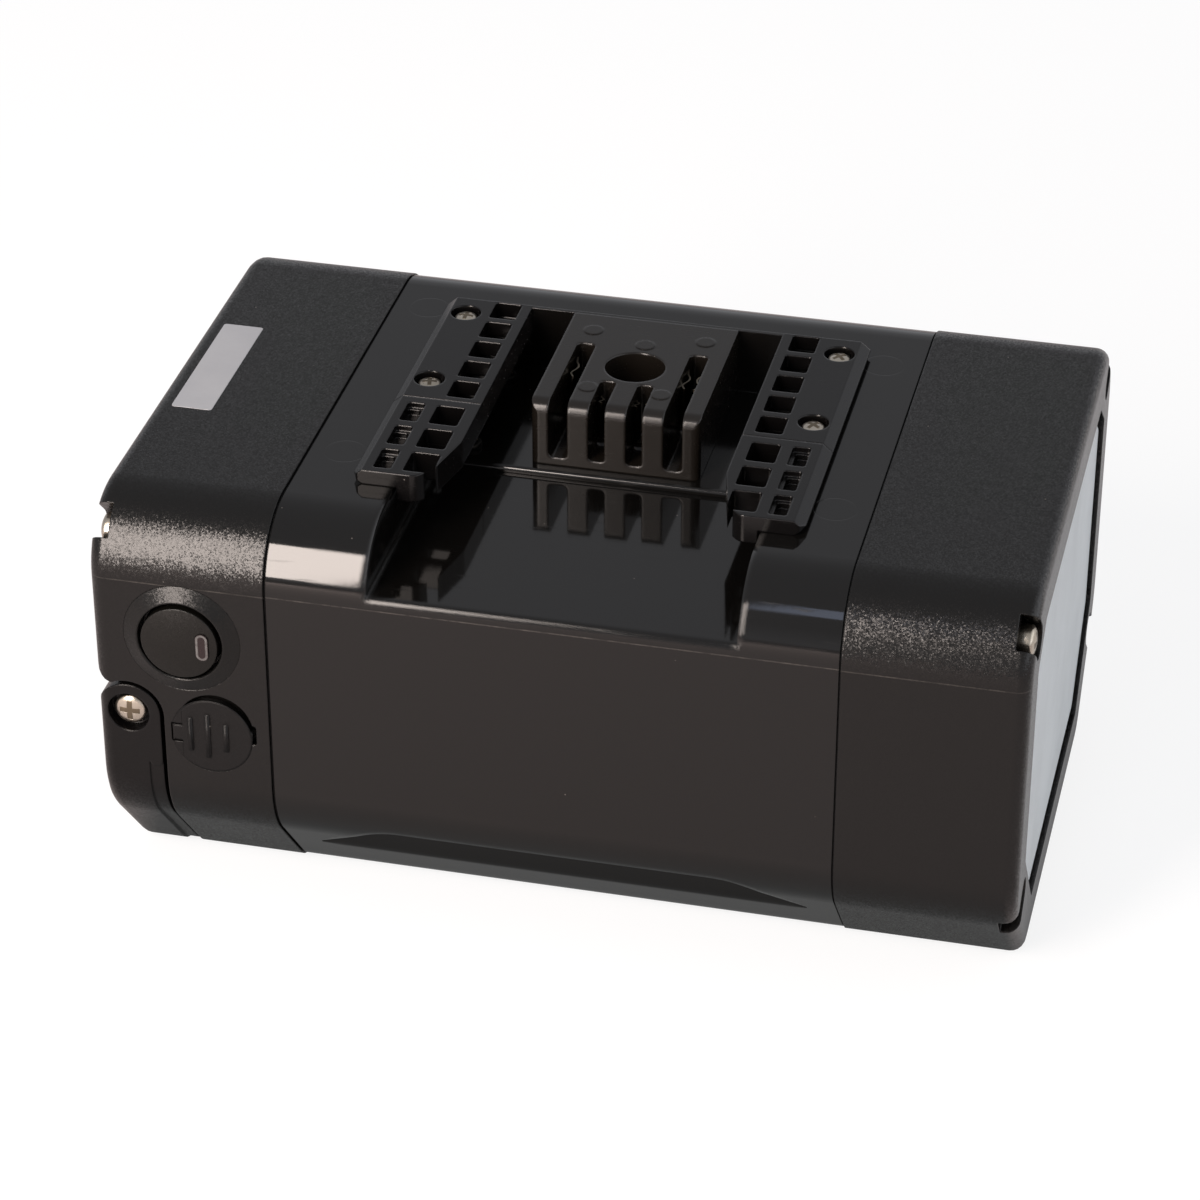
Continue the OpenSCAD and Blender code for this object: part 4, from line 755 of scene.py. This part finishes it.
def fit_screws(name, node, body, outward, head_h, shank_r, crown=0.0, finish=screw_nickel):
    """Turned screws in the places of a node's plain ones. Outward is X, Y or Z, with a sign. The
    crown is how much higher than a plain head each dome stands."""
    axis = "xyz".index(outward[-1])
    whole = bmesh.new()
    for low, high in loose_parts(node):
        middle = (low + high) / 2
        sign = -1 if outward[0] == "-" else 1
        if outward[0] == "~":
            sign = 1 if middle[axis] > 0 else -1
        head_r = (high - low)[(axis + 1) % 3] / 2 * head_share
        one = turned_screw(head_r, head_h + crown, shank_r, (high - low)[axis] - head_h)
        seat = middle.copy()
        seat[axis] = (high if sign > 0 else low)[axis] - sign * head_h
        direction = Vector([sign if i == axis else 0 for i in range(3)])
        turned = direction.to_track_quat("Z", "Y").to_matrix().to_4x4()
        # Each screw stops at a turn of its own
        twist = Matrix.Rotation(0.6 + 40 * (seat.x + 2 * seat.y), 4, "Z")
        bmesh.ops.transform(one, matrix=Matrix.Translation(seat) @ turned @ twist, verts=one.verts)
        loose = finished("one_screw", one)
        whole.from_mesh(loose)
        bpy.data.meshes.remove(loose)
    mesh = finished(name, whole)
    mesh.set_sharp_from_angle(angle=radians(42))
    mesh.materials.append(finish)
    mesh.materials.append(shaded_recess_steel)
    piece = new_object(name, mesh)
    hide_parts(node)
    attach(piece, body)


fit_screws(
    "left_end_screw_set",
    "left_end_screws",
    "pack",
    "-x",
    large_head_h,
    large_shank_r,
    crown=0.0013,
)
fit_screws(
    "right_end_screw_set",
    "right_end_screws",
    "pack",
    "x",
    large_head_h,
    large_shank_r,
    crown=0.0013,
)
fit_screws("handle_screw_set", "handle_screws", "pack", "~y", large_head_h, large_shank_r)
fit_screws("rail_screw_set", "rail_screws", "pack", "z", small_head_h, small_shank_r, crown=0.0006)
fit_screws(
    "plate_screw_set", "plate_screws", "pack", "z", small_head_h, small_shank_r, finish=black_zinc
)
fit_screws("board_screw_set", "bms_screws", "pack", "z", small_head_h, small_shank_r)
fit_screws("fuse_screw_set", "fuse_screws", "pack", "z", small_head_h, fuse_shank_r)

# Bushes and nut: steel bushes that the handle swings on, and the charge socket's ring nut, all
# turned and then nickel-plated as the screws are.
dress(screw_nickel, "handle_bushes", "charge_nut")

# Cover pin: a short steel pin, pressed through the charge cover's hinge. It is burnished dark,
# so it hardly shows.
pin_dark = fine_metal(
    "burnished_steel", "#2b2a29", "#3a3835", roughness=0.35, metallic=1.0, pattern=900.0
)
dress(pin_dark, "cover_pin")


# Contacts: pairs of sprung leaves, stamped from tinned phosphor bronze, standing in the block's
# slots. Each pair bulges inwards where it grips the blade of the mount. Their upper edges, which
# face up, carry a painted highlight, and their sides a painted shade.
contact_bronze, tree, place = new_material("tinned_bronze")
upward = add(tree, "SeparateXYZ", {0: add(tree, "TexCoord").outputs["Normal"]})
worn = add(tree, "TexNoise", {"Vector": place, "Scale": 420.0, "Detail": 4.0})
# Painted highlight on the faces that look up, painted shade on the sides, made patchy by noise.
top_highlight_mask = add(tree, "MapRange", {"Value": upward.outputs["Z"], "From Min": 0.5, "From Max": 0.9})
patchy_highlight_share = add(
    tree,
    "MapRange",
    {"Value": worn.outputs["Fac"], "From Min": 0.3, "From Max": 0.6, "To Min": 0.75},
)
painted_top_highlight = add(
    tree,
    "Math",
    {0: top_highlight_mask.outputs["Result"], 1: patchy_highlight_share.outputs["Result"]},
    operation="MULTIPLY",
)
tint = add(
    tree,
    "Mix",
    {0: painted_top_highlight.outputs[0], 6: linear("#1d1712"), 7: linear("#948c7e")},
    data_type="RGBA",
)
satin = add(tree, "MapRange", {"Value": painted_top_highlight.outputs[0], "To Min": 0.55, "To Max": 0.36})
bump = add(tree, "Bump", {"Height": worn.outputs["Fac"], "Distance": 0.00002})
shader = add(
    tree,
    "BsdfPrincipled",
    {
        "Base Color": tint.outputs[2], "Metallic": 1.0, "Roughness": satin.outputs["Result"],
        "Normal": bump.outputs[0],
    },
)
add(tree, "OutputMaterial", {"Surface": shader.outputs[0]})
leaf_t, strip_t, mouth_drop = 0.00042, 0.0005, 0.0012
# How far along a pair, from its back to its mouth, and how far inwards it bulges there, in mm
leaf_curve = (
    (0, 0), (0.1, 0.1), (0.24, 0.35), (0.36, 1.05), (0.46, 1.3), (0.56, 1.05), (0.7, 0.3),
    (0.8, 0.12), (0.88, 0.6), (0.94, 0.95), (1, 0.8),
)


def sprung_leaves(bm, x, half_gap, back_y, mouth_y, low_z, high_z, reach):
    """Two leaves that face each other across a slot, on the strip that joins them below."""
    for side in (-1, 1):
        row = []
        for along, inward in leaf_curve:
            y = back_y + (mouth_y - back_y) * along
            leaf_x = x + side * (half_gap - leaf_t / 2 - inward * reach / 1000)
            row.append(bm.verts.new((leaf_x, y, low_z)))
        edges = [bm.edges.new(pair) for pair in zip(row, row[1:])]
        raised = bmesh.ops.extrude_edge_only(bm, edges=edges)
        top = [v for v in raised["geom"] if isinstance(v, bmesh.types.BMVert)]
        bmesh.ops.translate(bm, verts=top, vec=(0, 0, high_z - low_z))
        for vert in top:
            if abs(vert.co.y - mouth_y) < 1e-6:
                vert.co.z -= mouth_drop
        faces = [f for f in raised["geom"] if isinstance(f, bmesh.types.BMFace)]
        bmesh.ops.recalc_face_normals(bm, faces=faces)
        bmesh.ops.solidify(bm, geom=faces + edges + row + top, thickness=leaf_t)


def contact_pairs(name, node, slot_x, half_gap, back, low_z, reach, tail_d=0.0, tail_z=0.0):
    """The pairs of leaves of two slots, with the round tails of the power ones."""
    low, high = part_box(node)
    bm = bmesh.new()
    for side in (-1, 1):
        x = side * slot_x
        sprung_leaves(bm, x, half_gap, back, low[1], low_z, high[2], reach)
        strip = bmesh.ops.create_cube(bm, size=1)["verts"]
        bmesh.ops.scale(bm, verts=strip, vec=(half_gap * 1.9, back - low[1], strip_t))
        bmesh.ops.translate(bm, verts=strip, vec=(x, (back + low[1]) / 2, low_z + strip_t / 2))
        if tail_d:
            moved = Matrix.Translation((x, (back + high[1]) / 2, tail_z))
            laid = moved @ Matrix.Rotation(pi / 2, 4, "X")
            tail_r, tail_l = tail_d / 2, high[1] - back
            bmesh.ops.create_cone(
                bm,
                cap_ends=True,
                segments=24,
                radius1=tail_r,
                radius2=tail_r,
                depth=tail_l,
                matrix=laid,
            )
    bmesh.ops.remove_doubles(bm, verts=bm.verts, dist=1e-7)
    mesh = finished(name, bm)
    mesh.materials.append(contact_bronze)
    piece = new_object(name, mesh)
    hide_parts(node)
    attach(piece, "pack")


contact_pairs(
    "power_contact_leaves",
    "power_contacts",
    slot_x=0.0147,
    half_gap=0.00243,
    back=0.0257,
    low_z=0.1014,
    reach=1.0,
    tail_d=0.0026,
    tail_z=0.10385,
)
contact_pairs(
    "signal_contact_leaves",
    "signal_contacts",
    slot_x=0.0048,
    half_gap=0.00208,
    back=0.0078,
    low_z=0.1014,
    reach=0.75,
)
dress(contact_bronze, "bms_terminals", "charge_pin")

# Handle: a bow moulded in the caps' plastic, with a groove along its outer face. Its grain is a
# little finer than the caps' and its edges are rounder.
handle_black = grained_plastic(
    "grained_handle_plastic",
    "#090808",
    roughness=0.26,
    grain=0.00028,
    tilt=0.15,
    edge=0.0007,
    ior=1.35,
)
true_copy("handle_moulding", "handle", "handle", handle_black)

# Power button: a domed cap in a coned ring, both moulded with a satin skin, and the posts that
# carry the switch behind them.
bezel_black = grained_plastic(
    "bezel_plastic",
    "#0a0a09",
    roughness=0.3,
    grain=0.00028,
    tilt=0.15,
    edge=0.0003,
    specks=0.2,
    ior=1.38,
)
dress(bezel_black, "button_bezel")
button_black = grained_plastic(
    "button_plastic",
    "#0c0b08",
    roughness=0.36,
    grain=0.0004,
    tilt=0.1,
    edge=0.0005,
    specks=0.2,
    ior=1.37,
)
dress(button_black, "power_button")
post_black = grained_plastic(
    "post_plastic", "#171718", roughness=0.45, grain=0.0005, tilt=0.14, edge=0.0002, specks=0.1
)
dress(post_black, "switch_posts")

# Button boot: a bellows moulded in grey silicone rubber, which seals the button's hole. Its skin
# is matt.
boot_grey = grained_plastic(
    "boot_silicone", "#3a3a3c", roughness=0.6, grain=0.0005, tilt=0.12, edge=0.0002, specks=0.5
)
dress(boot_grey, "button_boot")

# Light window: a clear oval light guide in the button. Its rim is frosted white, and the unlit
# red and green lamps show dark pink behind it.
window_half, window_run = 0.0016, 0.0021
window_x, window_z = -0.0859, 0.0790
window_clear, tree, place = new_material("frosted_light_guide")
centred = add(tree, "Mapping", {"Vector": place, "Location": (-window_x, 0, -window_z)})
parts = add(tree, "SeparateXYZ", {0: centred.outputs[0]})
up = add(tree, "Math", {0: parts.outputs["Z"]}, operation="ABSOLUTE")
beyond = add(tree, "Math", {0: up.outputs[0], 1: window_run}, operation="SUBTRACT")
beyond = add(tree, "Math", {0: beyond.outputs[0], 1: 0.0}, operation="MAXIMUM")
flat = add(tree, "CombineXYZ", {"X": parts.outputs["X"], "Z": beyond.outputs[0]})
far = add(tree, "VectorMath", {0: flat.outputs[0]}, operation="LENGTH")
haze = add(tree, "TexNoise", {"Vector": centred.outputs[0], "Scale": 900.0, "Detail": 3.0})
rim_in = add(
    tree,
    "MapRange",
    {
        "Value": far.outputs["Value"], "From Min": window_half * 0.52,
        "From Max": window_half * 0.68,
    },
)
rim_out = add(
    tree,
    "MapRange",
    {
        "Value": far.outputs["Value"], "From Min": window_half * 0.86,
        "From Max": window_half * 0.97, "To Min": 1.0, "To Max": 0.1,
    },
)
frost = add(
    tree, "Math", {0: rim_in.outputs["Result"], 1: rim_out.outputs["Result"]}, operation="MULTIPLY"
)
cloudy = add(
    tree,
    "MapRange",
    {"Value": haze.outputs["Fac"], "From Min": 0.3, "From Max": 0.7, "To Min": 0.55},
)
frost = add(tree, "Math", {0: frost.outputs[0], 1: cloudy.outputs["Result"]}, operation="MULTIPLY")
tint = add(
    tree,
    "Mix",
    {0: frost.outputs[0], 6: linear("#1f1314"), 7: linear("#686766")},
    data_type="RGBA",
)
bump = add(tree, "Bump", {"Height": haze.outputs["Fac"], "Distance": 0.00001})
shader = add(
    tree,
    "BsdfPrincipled",
    {"Base Color": tint.outputs[2], "Roughness": 0.22, "IOR": 1.49, "Normal": bump.outputs[0]},
)
add(tree, "OutputMaterial", {"Surface": shader.outputs[0]})
dress(window_clear, "led_window")

# Charge cover: a flap of soft black rubber with three finger ridges, that turns on its pin. Its
# knuckle is a little narrower than its slot, so that it clears the slot's rounded ends.
cover_black = grained_plastic(
    "cover_rubber",
    "#0a0909",
    roughness=0.45,
    grain=0.0004,
    tilt=0.1,
    edge=0.0005,
    specks=0.5,
    ior=1.35,
)
skin_x, skin_z, skin_y = -0.0856, 0.0514, -0.07556
knuckle_x, knuckle_half, narrowed_half, slack = -0.0930, 0.00267, 0.0022, 0.0001
bm = bmesh.new()
bm.from_mesh(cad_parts["charge_port_cover"].data)
bmesh.ops.remove_doubles(bm, verts=bm.verts, dist=merge_gap)
for vert in bm.verts:
    off = vert.co.z - skin_z
    if vert.co.x < knuckle_x and abs(abs(off) - knuckle_half) < slack:
        vert.co.z = skin_z + (narrowed_half if off > 0 else -narrowed_half)
for face in bm.faces:
    face.smooth = True
flap_mesh = finished("cover_flap", bm)
flap_mesh.set_sharp_from_angle(angle=radians(35))
flap_mesh.materials.clear()
flap_mesh.materials.append(cover_black)
cover_flap = new_object("cover_flap", flap_mesh)
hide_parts("charge_port_cover")
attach(cover_flap, "port_cover")

# Its outer skin is a full round disc that laps thinly over the rim of the port. It is split
# where the flap bends: two slivers beside the hinge stay on the cap, the rest turns.
skin_r, lip_r, lap, skin_t = 0.01015, 0.01045, 0.00002, 0.0009
bend_x, heel_x, heel_end_x = -0.09305, -0.09532, -0.0956
tongue_half, heel_half, root_half = 0.0020, 0.0023, 0.0027
whole = bmesh.new()
outline = [(0, 0), (skin_r * 0.9, lap * 0.5), (lip_r, lap), (lip_r, lap * 2), (skin_r, lap * 2)]
outline += [(skin_r, skin_t), (0, skin_t)]
ring = [whole.verts.new((r, 0, up)) for r, up in outline]
edges = [whole.edges.new(pair) for pair in zip(ring, ring[1:])]
bmesh.ops.spin(
    whole, geom=ring + edges, cent=(0, 0, 0), axis=(0, 0, 1), angle=tau, steps=96, use_merge=True
)
bmesh.ops.remove_doubles(whole, verts=whole.verts, dist=1e-6)
bmesh.ops.recalc_face_normals(whole, faces=whole.faces)
facing_out = Matrix.Translation((skin_x, skin_y, skin_z)) @ Matrix.Rotation(-pi / 2, 4, "X")
bmesh.ops.transform(whole, matrix=facing_out, verts=whole.verts)


def cut_piece(name, body, cuts):
    """Parts of the skin, each what is left on the inner side of its planes, as one piece."""
    mesh = bpy.data.meshes.new(name)
    joined = bmesh.new()
    for planes in cuts:
        part = whole.copy()
        for axis, at, outward in planes:
            co = Vector([at if i == axis else 0 for i in range(3)])
            no = Vector([outward if i == axis else 0 for i in range(3)])
            geom = part.verts[:] + part.edges[:] + part.faces[:]
            made = bmesh.ops.bisect_plane(
                part, geom=geom, dist=1e-8, plane_co=co, plane_no=no, clear_outer=True
            )
            cut = [e for e in made["geom_cut"] if isinstance(e, bmesh.types.BMEdge)]
            bmesh.ops.edgeloop_fill(part, edges=cut)
        bmesh.ops.recalc_face_normals(part, faces=part.faces)
        part.to_mesh(mesh)
        part.free()
        joined.from_mesh(mesh)
    joined.to_mesh(mesh)
    joined.free()
    mesh.set_sharp_from_angle(angle=radians(50))
    mesh.materials.append(cover_black)
    piece = new_object(name, mesh)
    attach(piece, body)


# The planes that cut each part: the axis a plane stands across, where, and the side that goes
flap = [(0, bend_x, -1)]
tongue = [
    (0, bend_x, 1), (0, heel_x, -1), (2, skin_z - tongue_half, -1), (2, skin_z + tongue_half, 1)
]
low_z, high_z = skin_z - root_half, skin_z + root_half
upper, lower = [(0, bend_x, 1), (2, high_z, -1)], [(0, bend_x, 1), (2, low_z, 1)]
heel = [
    (0, heel_x, 1), (0, heel_end_x, -1), (2, skin_z - heel_half, -1), (2, skin_z + heel_half, 1)
]
heel.append((1, skin_y + lap * 2, 1))
cut_piece("cover_skin", "port_cover", (flap, tongue, heel))
cut_piece("cover_root", "pack", (upper, lower))
whole.free()

# Charge socket: a barrel moulded in black nylon, which a ring nut holds in the cap behind the
# cover. Its skin is satin.
socket_black = grained_plastic(
    "socket_nylon", "#151516", roughness=0.35, grain=0.0005, tilt=0.1, edge=0.0002, specks=0.2
)
dress(socket_black, "charge_socket")

# Cells: forty round lithium cells, each in a blue shrink sleeve. The sleeve folds over both
# ends and leaves the bare nickel-plated can in the middle of them.
cell_sleeve, tree, place = new_material("shrink_sleeve")
parts = add(tree, "SeparateXYZ", {0: place})
depth = add(tree, "Math", {0: parts.outputs["Y"]}, operation="ABSOLUTE")
inner = add(
    tree,
    "MapRange",
    {
        "Value": depth.outputs[0], "From Min": 0.0026, "From Max": 0.0028, "To Min": 1.0,
        "To Max": 0.0,
    },
)
outer = add(tree, "MapRange", {"Value": depth.outputs[0], "From Min": 0.0672, "From Max": 0.0674})
bare = add(
    tree, "Math", {0: inner.outputs["Result"], 1: outer.outputs["Result"]}, operation="MAXIMUM"
)
crinkle = add(tree, "TexNoise", {"Vector": place, "Scale": 180.0, "Detail": 3.0, "Roughness": 0.6})
blue = add(
    tree,
    "Mix",
    {0: crinkle.outputs["Fac"], 6: linear("#1f5f8c"), 7: linear("#2a78a6")},
    data_type="RGBA",
)
tint = add(
    tree, "Mix", {0: bare.outputs[0], 6: blue.outputs[2], 7: linear("#b9b6ae")}, data_type="RGBA"
)
bump = add(tree, "Bump", {"Height": crinkle.outputs["Fac"], "Distance": 0.00008})
shader = add(
    tree,
    "BsdfPrincipled",
    {
        "Base Color": tint.outputs[2], "Metallic": bare.outputs[0], "Roughness": 0.3,
        "Normal": bump.outputs[0],
    },
)
add(tree, "OutputMaterial", {"Surface": shader.outputs[0]})
dress(cell_sleeve, "cells_front_bank", "cells_back_bank")

# Cell holders and fuse holder: frames moulded in black flame-proof ABS, with a matt skin. They
# grip the ends of the cells and of the fuse.
holder_black = grained_plastic(
    "holder_plastic", "#242427", roughness=0.5, grain=0.0006, tilt=0.16, edge=0.0003, specks=0.1
)
dress(
    holder_black,
    "front_outer_holder",
    "front_inner_holder",
    "back_inner_holder",
    "back_outer_holder",
    "fuse_holder",
)

# Strips: pure nickel ribbon, spot-welded on the cells' ends. Rolling has drawn fine lines along
# it.
ribbon_nickel = fine_metal(
    "rolled_nickel",
    "#b5b1a8",
    "#a09b90",
    roughness=0.32,
    metallic=1.0,
    pattern=1.0,
    stretch=(2500, 120, 120),
)
dress(ribbon_nickel, "front_strips", "back_strips", "middle_strips")

# Fuse: a white glazed ceramic tube, with a plain brass cap pressed on each end. The glaze is
# glossy in patches.
fuse_body, tree, place = new_material("fuse_ceramic")
parts = add(tree, "SeparateXYZ", {0: place})
depth = add(tree, "Math", {0: parts.outputs["Y"]}, operation="ABSOLUTE")
capped = add(tree, "MapRange", {"Value": depth.outputs[0], "From Min": 0.0108, "From Max": 0.0110})
glaze = add(tree, "TexNoise", {"Vector": place, "Scale": 320.0, "Detail": 3.0})
tint = add(
    tree,
    "Mix",
    {0: capped.outputs["Result"], 6: linear("#e4e0d6"), 7: linear("#c3ab78")},
    data_type="RGBA",
)
satin = add(
    tree,
    "MapRange",
    {
        "Value": glaze.outputs["Fac"], "From Min": 0.3, "From Max": 0.7, "To Min": 0.24,
        "To Max": 0.38,
    },
)
bump = add(tree, "Bump", {"Height": glaze.outputs["Fac"], "Distance": 0.00002})
shader = add(
    tree,
    "BsdfPrincipled",
    {
        "Base Color": tint.outputs[2], "Metallic": capped.outputs["Result"],
        "Roughness": satin.outputs["Result"], "Normal": bump.outputs[0],
    },
)
add(tree, "OutputMaterial", {"Surface": shader.outputs[0]})
dress(fuse_body, "fuse")

# Insulation: sheets of tan fish paper, a vulcanised cotton board, cut to shape and laid between
# the cells and the boards. Its fibres show as streaks.
fish_paper, tree, place = new_material("fish_paper")
drawn = add(tree, "Mapping", {"Vector": place, "Rotation": (0, 0.6, 0), "Scale": (250, 250, 1600)})
fibre = add(
    tree, "TexNoise", {"Vector": drawn.outputs[0], "Scale": 1.0, "Detail": 4.0, "Roughness": 0.7}
)
tint = add(
    tree,
    "Mix",
    {0: fibre.outputs["Fac"], 6: linear("#9c8f73"), 7: linear("#c4b99c")},
    data_type="RGBA",
)
bump = add(tree, "Bump", {"Height": fibre.outputs["Fac"], "Distance": 0.00005})
shader = add(
    tree,
    "BsdfPrincipled",
    {"Base Color": tint.outputs[2], "Roughness": 0.75, "Normal": bump.outputs[0]},
)
add(tree, "OutputMaterial", {"Surface": shader.outputs[0]})
dress(fish_paper, "insulation_sheets", "middle_sheet")

# Foam pads: closed-cell grey foam, cut from sheet, that holds the cells against the shell. The
# cut pores make it dull and speckled.
foam_grey, tree, place = new_material("closed_cell_foam")
pores = add(tree, "TexVoronoi", {"Vector": place, "Scale": 1500.0})
tint = add(
    tree,
    "Mix",
    {0: pores.outputs["Distance"], 6: linear("#2c2c2e"), 7: linear("#4a4a4d")},
    data_type="RGBA",
)
bump = add(tree, "Bump", {"Height": pores.outputs["Distance"], "Distance": 0.00025})
shader = add(
    tree,
    "BsdfPrincipled",
    {"Base Color": tint.outputs[2], "Roughness": 0.9, "Normal": bump.outputs[0]},
)
add(tree, "OutputMaterial", {"Surface": shader.outputs[0]})
dress(foam_grey, "foam_pads")

# Boards: glass-fibre laminate with green solder lacquer, over copper tracks that show as paler
# lines with square bends.
board_green, tree, place = new_material("solder_lacquer")
tracks = add(
    tree, "TexVoronoi", {"Vector": place, "Scale": 260.0, "Randomness": 0.7}, distance="CHEBYCHEV"
)
ripple = add(tree, "Math", {0: tracks.outputs["Distance"], 1: 26.0}, operation="MULTIPLY")
ripple = add(tree, "Math", {0: ripple.outputs[0]}, operation="SINE")
track = add(tree, "MapRange", {"Value": ripple.outputs[0], "From Min": 0.1, "From Max": 0.4})
tint = add(
    tree,
    "Mix",
    {0: track.outputs["Result"], 6: linear("#0f4426"), 7: linear("#1f6a3c")},
    data_type="RGBA",
)
bump = add(tree, "Bump", {"Height": track.outputs["Result"], "Distance": 0.00003})
shader = add(
    tree,
    "BsdfPrincipled",
    {"Base Color": tint.outputs[2], "Roughness": 0.28, "Normal": bump.outputs[0]},
)
add(tree, "OutputMaterial", {"Surface": shader.outputs[0]})
dress(board_green, "bms_board", "switch_board")

# Board parts: chips and capacitors, moulded in dark epoxy and soldered on the board. Their skin
# has a fine satin grain.
part_black = grained_plastic(
    "moulded_epoxy", "#1a1a1c", roughness=0.45, grain=0.0004, tilt=0.14, edge=0.0002, specks=0.2
)
dress(part_black, "bms_parts")

# Heat sink: a bar of extruded aluminium on the protection board. The die has drawn fine lines
# along it.
sink_metal = fine_metal(
    "extruded_aluminium",
    "#b7babd",
    "#a6a9ad",
    roughness=0.36,
    metallic=1.0,
    pattern=1.0,
    stretch=(90, 2600, 2600),
)
dress(sink_metal, "heat_sink")


# Leads: stranded copper in extruded silicone rubber, red and black. Handling has left a matt
# bloom on them.
def lead_rubber(name, colour, bloom_colour):
    """Silicone cable insulation."""
    material, tree, place = new_material(name)
    bloom = add(
        tree, "TexNoise", {"Vector": place, "Scale": 260.0, "Detail": 4.0, "Roughness": 0.6}
    )
    tint = add(
        tree,
        "Mix",
        {0: bloom.outputs["Fac"], 6: linear(colour), 7: linear(bloom_colour)},
        data_type="RGBA",
    )
    dull = add(
        tree,
        "MapRange",
        {
            "Value": bloom.outputs["Fac"], "From Min": 0.3, "From Max": 0.7, "To Min": 0.4,
            "To Max": 0.58,
        },
    )
    bump = add(tree, "Bump", {"Height": bloom.outputs["Fac"], "Distance": 0.00003})
    shader = add(
        tree,
        "BsdfPrincipled",
        {
            "Base Color": tint.outputs[2], "Roughness": dull.outputs["Result"],
            "Normal": bump.outputs[0],
        },
    )
    add(tree, "OutputMaterial", {"Surface": shader.outputs[0]})
    return material


lead_red = lead_rubber("red_silicone", "#8f1d17", "#a8322a")
dress(lead_red, "positive_lead", "fuse_lead")
lead_black = lead_rubber("black_silicone", "#131315", "#242427")
dress(lead_black, "negative_lead", "charge_lead", "button_lead")
